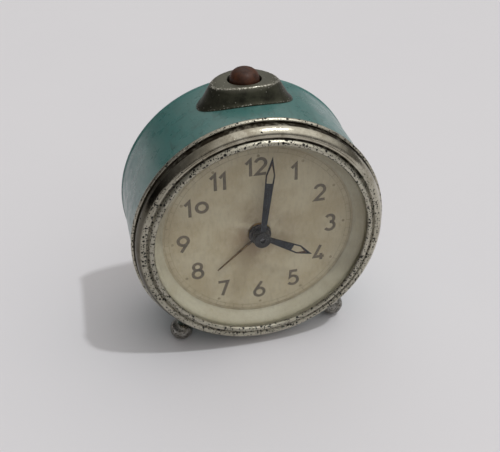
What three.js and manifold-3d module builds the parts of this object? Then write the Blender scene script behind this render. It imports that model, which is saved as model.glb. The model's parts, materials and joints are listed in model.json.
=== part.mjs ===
// Wind-up alarm clock that leans back on two ball feet and the rear rim of its drum. Millimetres.
// Each piece is modelled around the dial's axis, which is Y and points to the back of the clock. X is to
// the right, Z is up, and y = 0 is just behind the bezel's lip. The whole clock is then tilted onto its
// feet. Pairs such as FRONT_PLATE hold a layer's front and rear depth.
import * as THREE from 'three';
import { mergeVertices } from 'three/addons/utils/BufferGeometryUtils.js';
import Module from 'manifold-3d';

const wasm = await Module();
wasm.setup();

// Case
const BEZEL_RADIUS = 42;
const OPENING_RADIUS = 35.05;
const DRUM_RADIUS = 41.4;
const DRUM_WALL = 0.7;
const DRUM_FRONT = 0.9;
const DRUM_REAR = 31.7;
const RIM_RADIUS = 41.75;
const RIM_Y = 31.2;
const COVER_RADIUS = 40.4;
const COVER_FRONT = 29.4;
const COVER_THICKNESS = 0.7;
const COVER_STEP = 0.8; // how far the cover's flange stands behind its middle
const GLASS_RADIUS = 36.8;
const GLASS_REAR = -3.05;
const GLASS_THICKNESS = 0.9;
const GLASS_RISE = 1.9;
const DIAL_Y = 1.1;
const DIAL_RADIUS = 38.5;
const ROUND = 40; // sides of the large round pieces

// Feet: ball centres in the clock's own frame, and how far below its centre each ball is flattened
const FOOT_X = 27.66;
const FOOT_Y = 5.24;
const FOOT_Z = -39.24;
const BALL_RADIUS = 4;
const BALL_FLAT = 3.85;
const STUD_RADIUS = 1.3;
const STUD_END = -11;
const STUD_HOLE = 1.6;

// Stop button on top
const BUTTON_Y = 18.5;
const BUTTON_RADIUS = 4.8;
const BUTTON_TOP = 50.4;
const BUTTON_HEIGHT = 5.1;
const BUTTON_BORE = 1.6;
const BUTTON_HOLE = 5.5;
const STEM_RADIUS = 1.3;
const STEM_TOP = BUTTON_TOP - 2.9;
const STEM_FOOT = 34.3;
const STEM_HOLE = 2.2;
const COLLAR = { radius: 1.9, low: 44.3, high: 45 };
const HOUSING_BASE = [15.5, 8.9];
const HOUSING_TOP = [10.8, 7.2];
const HOUSING_TOP_RADIUS = 47;
const HOUSING_WALL = 0.8;

// Hands, seen from the front: angles past 12 in degrees
const MINUTE_ANGLE = 6.8;
const HOUR_ANGLE = 119.6;
const ALARM_ANGLE = 229.7;
const MINUTE_LENGTH = 30.4;
const HOUR_LENGTH = 20;
const ALARM_LENGTH = 19;
const MINUTE_BLADE = [-3.1, -2.8];
const MINUTE_BOSS = [-3.95, -2.6];
const HOUR_BLADE = [-1.8, -1.5];
const HOUR_BOSS = [-2.2, -1];
const ALARM_BLADE = [0, 0.3];
const ALARM_BOSS = [-0.4, 0.6];

// Wheels under the dial, from the front: the alarm's, the hour's, then the minute's
const ALARM_PINION_LAYER = [2.2, 3.4];
const ALARM_WHEEL_LAYER = [2.4, 3.1];
const HOUR_WHEEL_LAYER = [4.2, 4.9];
const MINUTE_PINION_LAYER = [3.9, 5.8];
const MINUTE_WHEEL_LAYER = [5.6, 6.4];
const CANNON_LAYER = [5.5, 6.6];

// Movement
const GAP = 0.3;
const PLATE_RADIUS = 36.5;
const FRONT_PLATE = [7, 8];
const REAR_PLATE = [25, 26];
const ARBOR_ENDS = [7.3, 25.7];
const PIVOT_RADIUS = 0.8;
const WINDING_RADIUS = 1.5;
const GREAT_WHEEL_LAYER = [9.8, 11];
const RATCHET_LAYER = [11.6, 12.4];
const CENTRE_PINION_LAYER = [9.4, 13.2];
const CENTRE_WHEEL_LAYER = [13, 13.8];
const THIRD_PINION_LAYER = [12.6, 14.6];
const THIRD_WHEEL_LAYER = [14.5, 15.3];
const ESCAPE_PINION_LAYER = [14.2, 15.6];
const ESCAPE_WHEEL_LAYER = [17.4, 18.2];
const PALLET_LAYER = [18.8, 19.5];
const BALANCE_LAYER = [20.2, 21.4];
const HAIRSPRING_LAYER = [22.6, 23.4];
const MAINSPRING_LAYER = [16.5, 22.5];
const ALARM_ESCAPE_PINION_LAYER = [9.6, 11.4];
const ALARM_ESCAPE_LAYER = [12.5, 13.3];
const STOP_LEVER_LAYER = [17.3, 19.7];

// Keys, knobs and the regulator's arm, behind the back cover
const ARBOR_REAR = 35;
const GRIP_FRONT = 31.6;
const KNOB_GRIP = [33.4, 37];
const KEY_HUB_REAR = 37.4;
const KEY_THICKNESS = 1.4;
const REGULATOR_LAYER = [26.4, 27.2];
const REGULATOR_REACH = 10;
const REGULATOR_ANGLE = 45;

/** A place in the dial plane, at a distance and an angle (degrees, anticlockwise from +X) from another. */
const polar = (from, distance, degrees) => {
  const angle = THREE.MathUtils.degToRad(degrees);
  return { x: from.x + distance * Math.cos(angle), z: from.z + distance * Math.sin(angle) };
};

// Arbor places
const CENTRE = { x: 0, z: 0 };
const MINUTE_STUD = polar(CENTRE, 12, 60);
const ALARM_SET = { x: 0, z: -13.5 };
const TIME_WIND = { x: 17, z: -4 };
const ALARM_WIND = { x: -17, z: -4 };
const THIRD = polar(CENTRE, 14, 55);
const ESCAPE = polar(THIRD, 12, 162.5);
const PALLET = polar(ESCAPE, 10, 170);
const BALANCE = { x: -22.5, z: 19 };
const ALARM_ESCAPE = polar(ALARM_WIND, 14.4, 241);
const HAMMER = polar(ALARM_ESCAPE, 9.5, -60);
const STOP_PIVOT = { x: 14, z: 31.5 };
const COVER_PILLARS = [{ x: 24.5, z: 17.5 }, { x: -31.5, z: 3 }, { x: 12, z: -28 }];
const TOP_PILLAR = { x: -10, z: 31 };

function paint(color, roughness, metalness) {
  return new THREE.MeshStandardMaterial({ color, roughness, metalness });
}

const teal = paint(0x47706a, 0.45, 0);
const nickel = paint(0x9d9a8c, 0.35, 1);
const darkNickel = paint(0x56564a, 0.5, 1);
const bakelite = paint(0x5f3a32, 0.4, 0);
const blueSteel = paint(0x20232a, 0.35, 0.8);
const steel = paint(0x8d8f92, 0.4, 1);
const brass = paint(0xb59a55, 0.35, 1);
const cream = paint(0xa69c82, 0.7, 0);
const clear = paint(0xdfe6e2, 0.05, 0);

// ---------------------------------------------------------------------------------------------- solids

/** Turns a closed three.js geometry into a solid. */
function solid(geometry) {
  const plain = geometry.clone();
  plain.deleteAttribute('normal');
  plain.deleteAttribute('uv');
  const merged = mergeVertices(plain, 1e-5);
  const index = merged.index.array;
  const kept = [];
  for (let i = 0; i < index.length; i += 3) {
    const [a, b, c] = [index[i], index[i + 1], index[i + 2]];
    if (a !== b && b !== c && c !== a) kept.push(a, b, c);
  }
  const vertProperties = new Float32Array(merged.attributes.position.array);
  if (signedVolume(vertProperties, kept) < 0) kept.reverse();
  return new wasm.Manifold(new wasm.Mesh({ numProp: 3, vertProperties, triVerts: new Uint32Array(kept) }));
}

/** Volume of a triangle mesh, negative when its faces point inwards. */
function signedVolume(positions, triangles) {
  const corner = (i) => new THREE.Vector3().fromArray(positions, 3 * i);
  let volume = 0;
  for (let i = 0; i < triangles.length; i += 3) {
    const [a, b, c] = [corner(triangles[i]), corner(triangles[i + 1]), corner(triangles[i + 2])];
    volume += a.dot(b.cross(c));
  }
  return volume;
}

/** Turns a solid back into a geometry. */
function geometryOf(body) {
  const mesh = body.getMesh();
  const geometry = new THREE.BufferGeometry();
  geometry.setAttribute('position', new THREE.BufferAttribute(new Float32Array(mesh.vertProperties), 3));
  geometry.setIndex(new THREE.BufferAttribute(new Uint32Array(mesh.triVerts), 1));
  geometry.computeVertexNormals();
  return geometry;
}

/** A body of revolution about an axis at a place, parallel to the dial's. Points are [radius, y]. */
function turned(points, sides, place = CENTRE) {
  const outline = points.map(([radius, y]) => new THREE.Vector2(radius, y));
  return solid(new THREE.LatheGeometry(outline, sides).translate(place.x, 0, place.z));
}

/** A solid cylinder parallel to the dial's axis. */
function rod(radius, front, rear, place, sides = 10) {
  return turned([[0, front], [radius, front], [radius, rear], [0, rear]], sides, place);
}

/** A tube parallel to the dial's axis. */
function tube(inner, outer, front, rear, place, sides = 14) {
  const section = [[inner, front], [outer, front], [outer, rear], [inner, rear], [inner, front]];
  return turned(section, sides, place);
}

/** A flat outline, whose own x and y are the clock's x and z, made thick from y = front to y = rear. */
function slab(shape, front, rear, place = CENTRE) {
  const settings = { depth: rear - front, bevelEnabled: false, curveSegments: 4 };
  const geometry = new THREE.ExtrudeGeometry(shape, settings);
  return solid(geometry.rotateX(Math.PI / 2).translate(place.x, rear, place.z));
}

/** A closed outline through points given as [x, z]. */
function outlineOf(points) {
  return new THREE.Shape(points.map(([x, z]) => new THREE.Vector2(x, z)));
}

/** A straight bar with round ends between two places in the dial plane. */
function bar(from, to, halfWidth, front, rear) {
  const angle = Math.atan2(to.z - from.z, to.x - from.x);
  const shape = new THREE.Shape();
  shape.absarc(to.x, to.z, halfWidth, angle - Math.PI / 2, angle + Math.PI / 2);
  shape.absarc(from.x, from.z, halfWidth, angle + Math.PI / 2, angle + 1.5 * Math.PI);
  return slab(shape, front, rear);
}

// ----------------------------------------------------------------------------------------------- gears

/** A gear wheel's data: teeth, pitch radius, and the angle of one of its teeth. */
function wheel(place, teeth, module, phase = 0) {
  return { place, teeth, module, radius: (teeth * module) / 2, pitch: (2 * Math.PI) / teeth, phase };
}

/** The same data for a wheel in mesh with another: a tooth of one stands in a gap of the other. */
function inMesh(driver, place, teeth) {
  const angle = Math.atan2(place.z - driver.place.z, place.x - driver.place.x);
  const distance = Math.hypot(place.z - driver.place.z, place.x - driver.place.x);
  const follower = wheel(place, teeth, (2 * distance) / (driver.teeth + teeth));
  const turns = (angle - driver.phase) / driver.pitch;
  follower.phase = angle + Math.PI + (turns - Math.floor(turns) + 0.5) * follower.pitch;
  return follower;
}

/** A gear blank with slender pointed teeth and a round hole. */
function gear(data, front, rear, hole = 0) {
  const root = data.radius - 0.95 * data.module;
  const tip = data.radius + 0.7 * data.module;
  const points = [];
  for (let i = 0; i < data.teeth; i += 1) {
    const angle = data.phase + i * data.pitch;
    const foot = 0.24 * data.pitch;
    points.push([root * Math.cos(angle - foot), root * Math.sin(angle - foot)]);
    points.push([tip * Math.cos(angle), tip * Math.sin(angle)]);
    points.push([root * Math.cos(angle + foot), root * Math.sin(angle + foot)]);
  }
  const shape = outlineOf(points);
  if (hole > 0) shape.holes.push(new THREE.Path().absarc(0, 0, hole, 0, 2 * Math.PI, true));
  return slab(shape, front, rear, data.place);
}

/** A wheel with slanted teeth, as an escape or ratchet wheel has. */
function slantedWheel(place, teeth, root, tip, lean, front, rear) {
  const points = [];
  const pitch = (2 * Math.PI) / teeth;
  for (let i = 0; i < teeth; i += 1) {
    const angle = i * pitch;
    points.push([root * Math.cos(angle), root * Math.sin(angle)]);
    points.push([tip * Math.cos(angle + lean * pitch), tip * Math.sin(angle + lean * pitch)]);
  }
  return slab(outlineOf(points), front, rear, place);
}

const cannonData = wheel(CENTRE, 8, (2 * 12) / 32);
const minuteData = inMesh(cannonData, MINUTE_STUD, 24);
const minutePinionData = wheel(MINUTE_STUD, 8, (2 * 12) / 40, 0.2);
const hourData = inMesh(minutePinionData, CENTRE, 32);
const alarmSetData = wheel(ALARM_SET, 8, (2 * 13.5) / 40);
const alarmWheelData = inMesh(alarmSetData, CENTRE, 32);
const timeGreatData = wheel(TIME_WIND, 40, (2 * Math.hypot(TIME_WIND.x, TIME_WIND.z)) / 48);
const centrePinionData = inMesh(timeGreatData, CENTRE, 8);
const centreData = wheel(CENTRE, 40, (2 * 14) / 48);
const thirdPinionData = inMesh(centreData, THIRD, 8);
const thirdData = wheel(THIRD, 32, (2 * 12) / 40);
const escapePinionData = inMesh(thirdData, ESCAPE, 8);
const alarmGreatData = wheel(ALARM_WIND, 36, (2 * 14.4) / 44);
const alarmPinionData = inMesh(alarmGreatData, ALARM_ESCAPE, 8);

// ------------------------------------------------------------------------------------------------ case

function caseDrum() {
  const inner = DRUM_RADIUS - DRUM_WALL;
  const band = turned([
    [DRUM_RADIUS, DRUM_FRONT], [DRUM_RADIUS, 30.6], [RIM_RADIUS, RIM_Y], [DRUM_RADIUS, DRUM_REAR],
    [inner, DRUM_REAR], [inner, DRUM_FRONT], [DRUM_RADIUS, DRUM_FRONT],
  ], ROUND);
  let drum = band.subtract(upright(STEM_HOLE, 30, 50));
  for (const side of [-1, 1]) drum = drum.subtract(footAxisRod(side, STUD_HOLE, -12, 0));
  return drum;
}

/** A rod along the stop button's axis. */
function upright(radius, low, high, sides = 16) {
  const geometry = new THREE.CylinderGeometry(radius, radius, high - low, sides).rotateX(Math.PI / 2);
  return solid(geometry.translate(0, BUTTON_Y, (low + high) / 2));
}

/** Puts a geometry whose own Y axis runs out of the drum, with the ball's centre at 0, onto a foot. */
function ontoFoot(geometry, side) {
  const tilt = side * Math.atan2(FOOT_X, -FOOT_Z);
  return geometry.rotateX(-Math.PI / 2).rotateY(-tilt).translate(side * FOOT_X, FOOT_Y, FOOT_Z);
}

/** A rod along a foot's axis: distances are outwards from the ball's centre. */
function footAxisRod(side, radius, from, to, sides = 14) {
  const geometry = new THREE.CylinderGeometry(radius, radius, to - from, sides);
  return solid(ontoFoot(geometry.translate(0, (from + to) / 2, 0), side));
}

function bezel() {
  const skirt = DRUM_RADIUS - DRUM_WALL - GAP;
  return turned([
    [skirt, 2.6], [skirt, 0.6], [BEZEL_RADIUS - 0.3, 0.6], [BEZEL_RADIUS, 0.1], [BEZEL_RADIUS - 0.3, -0.9],
    [41.3, -2.4], [40.5, -3.9], [38.4, -5.2], [37.3, -4.7], [36.6, -5.5],
    [35.9, -5.8], [OPENING_RADIUS, -5.1], [35.3, -4.5], [37.6, -3.9], [39.3, -3.4],
    [39.9, -1.6], [39.9, 2.6], [skirt, 2.6],
  ], ROUND);
}

/** The height of the glass's crown at a radius, over its rim. */
const crown = (radius) => GLASS_RISE * (1 - (radius / GLASS_RADIUS) ** 2);

function glass() {
  const steps = [0, 0.5, 1].map((part) => part * GLASS_RADIUS);
  const rear = steps.map((radius) => [radius, GLASS_REAR - crown(radius)]);
  const front = steps.map((radius) => [radius, GLASS_REAR - GLASS_THICKNESS - crown(radius)]);
  return turned([...rear, ...front.reverse()], ROUND);
}

/** The sloping border that stands on the dial and presses the glass into the bezel. */
function dialRing() {
  return turned([
    [31.9, 0.75], [35.2, -2.7], [37.4, -2.7], [37.4, -2.2], [35.5, -2.2], [32.6, 0.75], [31.9, 0.75],
  ], ROUND);
}

function dial() {
  return tube(3.9, DIAL_RADIUS, DIAL_Y, DIAL_Y + 0.5, CENTRE, ROUND);
}

function backCover() {
  const front = COVER_FRONT;
  const rear = COVER_FRONT + COVER_THICKNESS;
  let cover = turned([
    [0, front], [36, front], [37.2, front + COVER_STEP], [COVER_RADIUS, front + COVER_STEP],
    [COVER_RADIUS, rear + COVER_STEP], [36.8, rear + COVER_STEP], [35.6, rear], [0, rear],
  ], ROUND);
  const holes = [[CENTRE, 1.8], [ALARM_SET, 1.8], [TIME_WIND, 2.2], [ALARM_WIND, 2.2]];
  for (const place of COVER_PILLARS) holes.push([place, 1.35]);
  for (const [place, radius] of holes) cover = cover.subtract(rod(radius, front - 1, rear + 1, place, 14));
  return cover.subtract(arcSlot(BALANCE, REGULATOR_REACH, 1.5, REGULATOR_ANGLE, 26, front - 1, rear + 1));
}

/** A slot along an arc around a place: mean radius, half width, middle angle and half angle in degrees. */
function arcSlot(place, radius, halfWidth, middle, half, front, rear) {
  const from = THREE.MathUtils.degToRad(middle - half);
  const to = THREE.MathUtils.degToRad(middle + half);
  const shape = new THREE.Shape();
  shape.absarc(0, 0, radius + halfWidth, from, to, false);
  shape.absarc(0, 0, radius - halfWidth, to, from, true);
  return slab(shape, front, rear, place);
}

function coverScrew(place) {
  const slot = new THREE.BoxGeometry(5, 0.6, 0.7).translate(place.x, 31.35, place.z);
  return rod(2.1, 30.4, 31.4, place, 18).add(rod(1, 26, 30.6, place, 12)).subtract(solid(slot));
}

function foot(side) {
  const ball = [0, 22.5, 45, 67.5, 90, 112.5, 140].map((degrees) => {
    const angle = THREE.MathUtils.degToRad(degrees);
    return [BALL_RADIUS * Math.sin(angle), BALL_RADIUS * Math.cos(angle)];
  });
  const collar = [[2, -3.8], [2, -4.4], [2.9, -4.9], [2.9, -6.1]];
  const stud = [[STUD_RADIUS, -6.1], [STUD_RADIUS, STUD_END], [0, STUD_END]];
  const profile = [...ball, ...collar, ...stud].map(([radius, y]) => new THREE.Vector2(radius, y));
  const body = solid(ontoFoot(new THREE.LatheGeometry(profile, 14), side));
  const below = new THREE.BoxGeometry(12, 12, 4).translate(0, 0, -BALL_FLAT - 2).rotateX(LEAN);
  return body.subtract(solid(below.translate(side * FOOT_X, FOOT_Y, FOOT_Z)));
}

/** The hexagonal nut on a foot's stud, inside the drum. */
function footNut(side) {
  return footAxisRod(side, 2.9, -10.4, -8.4, 6).subtract(footAxisRod(side, STUD_HOLE, -12, -6));
}

// --------------------------------------------------------------------------------------- stop button

/** The housing's surface: rings of an oval that shrinks as it rises from the drum to the top. */
function housingSkin(inset, foot, top) {
  const sides = 24;
  const levels = [[0, 0], [0.22, 0.35], [0.55, 0.72], [1, 1]];
  const rings = levels.map(([shrink, rise]) => {
    const half = (i) => HOUSING_BASE[i] + (HOUSING_TOP[i] - HOUSING_BASE[i]) * shrink - inset;
    const [a, b] = [half(0), half(1)];
    const around = foot + (top - foot) * rise;
    return Array.from({ length: sides }, (_, i) => {
      const angle = (2 * Math.PI * i) / sides;
      const x = a * Math.cos(angle);
      return [x, BUTTON_Y + b * Math.sin(angle), Math.sqrt(around ** 2 - x ** 2)];
    });
  });
  return lofted(rings);
}

/** A closed body through rings of points, with a fan across the first ring and the last. */
function lofted(rings) {
  const sides = rings[0].length;
  const points = rings.flat();
  const index = [];
  for (let level = 0; level + 1 < rings.length; level += 1) {
    for (let i = 0; i < sides; i += 1) {
      const [a, b] = [level * sides + i, level * sides + ((i + 1) % sides)];
      index.push(a, b, b + sides, a, b + sides, a + sides);
    }
  }
  for (const [level, flip] of [[0, true], [rings.length - 1, false]]) {
    const first = level * sides;
    const ring = rings[level];
    const middle = [0, 1, 2].map((k) => ring.reduce((sum, point) => sum + point[k], 0) / sides);
    middle[2] = ring.reduce((highest, point) => Math.max(highest, point[2]), 0);
    points.push(middle);
    for (let i = 0; i < sides; i += 1) {
      const [a, b] = [first + i, first + ((i + 1) % sides)];
      index.push(...(flip ? [b, a, points.length - 1] : [a, b, points.length - 1]));
    }
  }
  const geometry = new THREE.BufferGeometry();
  geometry.setAttribute('position', new THREE.Float32BufferAttribute(points.flat(), 3));
  geometry.setIndex(index);
  return solid(geometry);
}

function buttonHousing() {
  const outer = housingSkin(0, DRUM_RADIUS - 2, HOUSING_TOP_RADIUS);
  const inner = housingSkin(HOUSING_WALL, DRUM_RADIUS - 3, HOUSING_TOP_RADIUS - HOUSING_WALL);
  const drumRoom = rod(DRUM_RADIUS + GAP, 0, 40, CENTRE, ROUND);
  return outer.subtract(inner).subtract(drumRoom).subtract(upright(BUTTON_HOLE, 40, 52, 28));
}

/** A body of revolution about the stop button's axis. Points are [radius, z]. */
function turnedUpright(points, sides) {
  const outline = points.map(([radius, z]) => new THREE.Vector2(radius, z));
  return solid(new THREE.LatheGeometry(outline, sides).rotateX(Math.PI / 2).translate(0, BUTTON_Y, 0));
}

function alarmButton() {
  const top = BUTTON_TOP;
  const skirt = top - BUTTON_HEIGHT;
  const boreEnd = STEM_TOP + GAP;
  return turnedUpright([
    [0, top], [2.1, top - 0.25], [3.6, top - 0.95], [4.5, top - 2.1], [BUTTON_RADIUS, top - 3.6],
    [BUTTON_RADIUS, skirt], [BUTTON_BORE, skirt], [BUTTON_BORE, boreEnd], [0, boreEnd],
  ], 24);
}

function buttonStem() {
  return turnedUpright([
    [0, STEM_TOP], [STEM_RADIUS, STEM_TOP], [STEM_RADIUS, COLLAR.high], [COLLAR.radius, COLLAR.high],
    [COLLAR.radius, COLLAR.low], [STEM_RADIUS, COLLAR.low], [STEM_RADIUS, STEM_FOOT], [0, STEM_FOOT],
  ], 14);
}

/** The coil spring between the drum and the stem's collar. */
function buttonSpring() {
  const turns = 2.5;
  const perTurn = 10;
  const radius = 2.6;
  const wireRadius = 0.28;
  const low = DRUM_RADIUS + 0.7;
  const high = COLLAR.low - 0.6;
  const route = [];
  for (let i = 0; i <= turns * perTurn; i += 1) {
    const angle = (2 * Math.PI * i) / perTurn;
    const z = low + (high - low) * (i / (turns * perTurn));
    route.push(new THREE.Vector3(radius * Math.cos(angle), BUTTON_Y + radius * Math.sin(angle), z));
  }
  const section = new THREE.Shape().absarc(0, 0, wireRadius, 0, 2 * Math.PI);
  const extrudePath = new THREE.CatmullRomCurve3(route);
  return solid(new THREE.ExtrudeGeometry(section, { steps: turns * 12, curveSegments: 2, extrudePath }));
}

/** The lever that the stem presses down, with a tail beyond its pivot. */
function stopLever() {
  const under = { x: -1.5, z: 32.6 };
  const tail = { x: 17, z: 26 };
  const arm = bar(STOP_PIVOT, under, 1.3, ...STOP_LEVER_LAYER);
  const both = arm.add(bar(STOP_PIVOT, tail, 1.1, ...STOP_LEVER_LAYER));
  return both.add(rod(1.8, 17, 20, STOP_PIVOT, 14)).add(rod(PIVOT_RADIUS, ...ARBOR_ENDS, STOP_PIVOT));
}

// ----------------------------------------------------------------------------------- hands and dial train

/** Turns an outline that points up to an angle past 12, about the dial's centre. */
function pointed(points, degrees) {
  const angle = THREE.MathUtils.degToRad(-degrees);
  return points.map(([x, z]) => [
    x * Math.cos(angle) - z * Math.sin(angle), x * Math.sin(angle) + z * Math.cos(angle),
  ]);
}

/** A hand that widens to a pierced spade and ends in a point. */
function spadeHand(length, spadeStart, spadeEnd, neck, width, degrees) {
  const right = [[neck, 2], [neck * 0.9, spadeStart - 3], [width, spadeEnd], [0, length]];
  const left = right.slice(0, 3).reverse().map(([x, z]) => [-x, z]);
  const shape = outlineOf(pointed([...right, ...left], degrees));
  const half = width * 0.62;
  const window = [[0, spadeStart - 1], [-half, spadeEnd - 0.2], [0, spadeEnd + 2.2], [half, spadeEnd - 0.2]];
  shape.holes.push(new THREE.Path(pointed(window, degrees).map(([x, z]) => new THREE.Vector2(x, z))));
  return shape;
}

function minuteHand() {
  const blade = slab(spadeHand(MINUTE_LENGTH, 20.5, 23.6, 0.75, 1.3, MINUTE_ANGLE), ...MINUTE_BLADE);
  return blade.add(rod(2.8, ...MINUTE_BOSS, CENTRE, 20)).subtract(rod(1.7, -3.3, 0, CENTRE, 14));
}

function hourHand() {
  const blade = slab(spadeHand(HOUR_LENGTH, 10.5, 14, 0.85, 1.6, HOUR_ANGLE), ...HOUR_BLADE);
  return blade.add(rod(3, ...HOUR_BOSS, CENTRE, 20)).subtract(rod(2.3, -3, 0, CENTRE, 16));
}

function alarmHand() {
  const outline = [[0.45, 2.6], [0.22, ALARM_LENGTH], [-0.22, ALARM_LENGTH], [-0.45, 2.6]];
  const blade = slab(outlineOf(pointed(outline, ALARM_ANGLE)), ...ALARM_BLADE);
  return blade.add(rod(3.6, ...ALARM_BOSS, CENTRE, 20)).subtract(rod(2.9, -1, 1, CENTRE, 16));
}

/** The shaft through the whole movement, with the cannon pinion in front and the setting knob behind. */
function minuteArbor() {
  return rod(PIVOT_RADIUS, -3, ARBOR_REAR, CENTRE, 12);
}

function cannonPinion() {
  const pinion = gear(cannonData, ...CANNON_LAYER).add(tube(1.1, 1.4, -2.7, 5.7, CENTRE, 12));
  return pinion.subtract(rod(1.1, 5, 7, CENTRE, 12));
}

function minuteWheel() {
  const pinion = gear(minutePinionData, ...MINUTE_PINION_LAYER);
  return gear(minuteData, ...MINUTE_WHEEL_LAYER).add(pinion).subtract(rod(1, 3, 7, MINUTE_STUD, 12));
}

/** The wheel whose pipe, around the cannon pinion's, carries the hour hand. */
function hourWheel() {
  return gear(hourData, ...HOUR_WHEEL_LAYER, 1.7).add(tube(1.7, 2, -1.9, 4.5, CENTRE, 14));
}

/** The wheel whose pipe, around the hour wheel's, carries the alarm hand. */
function alarmWheel() {
  return gear(alarmWheelData, ...ALARM_WHEEL_LAYER, 2.3).add(tube(2.3, 2.6, -0.2, 2.7, CENTRE, 16));
}

function alarmSetArbor() {
  return gear(alarmSetData, ...ALARM_PINION_LAYER).add(rod(PIVOT_RADIUS, 3, ARBOR_REAR, ALARM_SET, 12));
}

// -------------------------------------------------------------------------------------------- movement

/** A movement plate with a hole for each arbor that turns in it. */
function plate([front, rear], extraHoles) {
  let body = rod(PLATE_RADIUS, front, rear, CENTRE, 32);
  const pivots = [CENTRE, ALARM_SET, THIRD, ESCAPE, PALLET, BALANCE, ALARM_ESCAPE, HAMMER, STOP_PIVOT];
  const holes = pivots.map((place) => [place, PIVOT_RADIUS + GAP]);
  for (const place of [TIME_WIND, ALARM_WIND]) holes.push([place, WINDING_RADIUS + GAP]);
  for (const [place, radius] of [...holes, ...extraHoles]) {
    body = body.subtract(rod(radius, front - 1, rear + 1, place, 8));
  }
  return body;
}

/** The front plate, with the stud that the minute wheel turns on. */
function frontPlate() {
  return plate(FRONT_PLATE, []).add(rod(0.7, 3.8, 7.5, MINUTE_STUD, 12));
}

function rearPlate() {
  return plate(REAR_PLATE, COVER_PILLARS.map((place) => [place, 1.9]));
}

/** A pillar that also stands behind the rear plate and takes a cover screw in its end. */
function coverPillar(place) {
  return rod(1.6, 8.3, 29.1, place, 14).subtract(rod(1.3, 25.5, 30, place, 12));
}

function topPillar() {
  return rod(1.6, 8.3, 24.7, TOP_PILLAR, 14);
}

/** The arbor that a winding key turns, with its ratchet wheel. */
function windingArbor(place) {
  const ratchet = slantedWheel(place, 14, 4, 5, 0.8, ...RATCHET_LAYER);
  return rod(WINDING_RADIUS, ARBOR_ENDS[0], ARBOR_REAR, place, 8).add(ratchet);
}

/** The wheel that the mainspring drives through the click. */
function greatWheel(data) {
  return gear(data, ...GREAT_WHEEL_LAYER, WINDING_RADIUS + GAP);
}

/** The pawl that stands on a great wheel beside the ratchet wheel. */
function click(place, side) {
  const pivot = polar(place, 7.5, 90 - side * 40);
  const tip = polar(place, 6.1, 90);
  return bar(pivot, tip, 0.6, ...RATCHET_LAYER).add(rod(1.1, 11.3, 12.6, pivot, 10));
}

/** A flat coiled strip around a place. */
function flatSpiral(place, inner, outer, turns, thickness, front, rear, perTurn, start = 0) {
  const edge = (offset) => {
    const points = [];
    for (let i = 0; i <= turns * perTurn; i += 1) {
      const angle = start + (2 * Math.PI * i) / perTurn;
      const radius = inner + ((outer - inner) * i) / (turns * perTurn) + offset;
      points.push([radius * Math.cos(angle), radius * Math.sin(angle)]);
    }
    return points;
  };
  return slab(outlineOf([...edge(thickness / 2), ...edge(-thickness / 2).reverse()]), front, rear, place);
}

function mainspring(place) {
  return flatSpiral(place, 3, 12, 5, 0.6, ...MAINSPRING_LAYER, 14);
}

/** A pinion, a wheel and their arbor between the plates. */
function wheelAndPinion(pinionData, pinionLayer, wheelBody, place) {
  return gear(pinionData, ...pinionLayer).add(wheelBody).add(rod(PIVOT_RADIUS, ...ARBOR_ENDS, place));
}

/** The centre wheel is hollow: the minute arbor runs through it. */
function centreWheel() {
  const both = gear(centrePinionData, ...CENTRE_PINION_LAYER).add(gear(centreData, ...CENTRE_WHEEL_LAYER));
  return both.subtract(rod(PIVOT_RADIUS + GAP, 9, 15, CENTRE, 12));
}

function thirdWheel() {
  return wheelAndPinion(thirdPinionData, THIRD_PINION_LAYER, gear(thirdData, ...THIRD_WHEEL_LAYER), THIRD);
}

function escapeWheel() {
  const toothed = slantedWheel(ESCAPE, 15, 4.9, 6.5, 0.6, ...ESCAPE_WHEEL_LAYER);
  return wheelAndPinion(escapePinionData, ESCAPE_PINION_LAYER, toothed, ESCAPE);
}

/** The pallet lever, with two pins beside the escape wheel and a fork towards the balance. */
function palletLever() {
  const pins = [24, -24].map((swing) => polar(ESCAPE, 7.6, 170 + swing));
  const towards = THREE.MathUtils.radToDeg(Math.atan2(BALANCE.z - PALLET.z, BALANCE.x - PALLET.x));
  const fork = polar(PALLET, 5, towards);
  let lever = rod(PIVOT_RADIUS, ...ARBOR_ENDS, PALLET).add(bar(PALLET, fork, 0.6, ...PALLET_LAYER));
  for (const pin of pins) {
    lever = lever.add(bar(PALLET, pin, 0.5, ...PALLET_LAYER)).add(rod(0.4, 17.2, 19, pin));
  }
  return lever;
}

function balanceWheel() {
  const middle = (BALANCE_LAYER[0] + BALANCE_LAYER[1]) / 2;
  const spoke = new THREE.BoxGeometry(14.4, 0.8, 1.4).translate(BALANCE.x, middle, BALANCE.z);
  const rim = tube(6.8, 8, ...BALANCE_LAYER, BALANCE, 28).add(solid(spoke));
  return rim.add(rod(1.6, ...BALANCE_LAYER, BALANCE, 12)).add(rod(PIVOT_RADIUS, ...ARBOR_ENDS, BALANCE));
}

function hairspring() {
  return flatSpiral(BALANCE, 1.7, 5.6, 3, 0.3, ...HAIRSPRING_LAYER, 12);
}

/** The fast and slow lever: a ring around the balance's axis, an arm, and a tab through the back cover. */
function regulatorLever() {
  const tab = polar(BALANCE, REGULATOR_REACH, REGULATOR_ANGLE);
  const arm = bar(polar(BALANCE, 2.4, REGULATOR_ANGLE), tab, 0.9, ...REGULATOR_LAYER);
  const ring = tube(1.5, 3, ...REGULATOR_LAYER, BALANCE, 16).add(arm);
  return ring.subtract(rod(1.5, 26, 28, BALANCE, 16)).add(rod(0.9, 26.6, 33, tab, 12));
}

function alarmEscapeWheel() {
  const toothed = slantedWheel(ALARM_ESCAPE, 12, 3.9, 5.2, 0.5, ...ALARM_ESCAPE_LAYER);
  return wheelAndPinion(alarmPinionData, ALARM_ESCAPE_PINION_LAYER, toothed, ALARM_ESCAPE);
}

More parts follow.
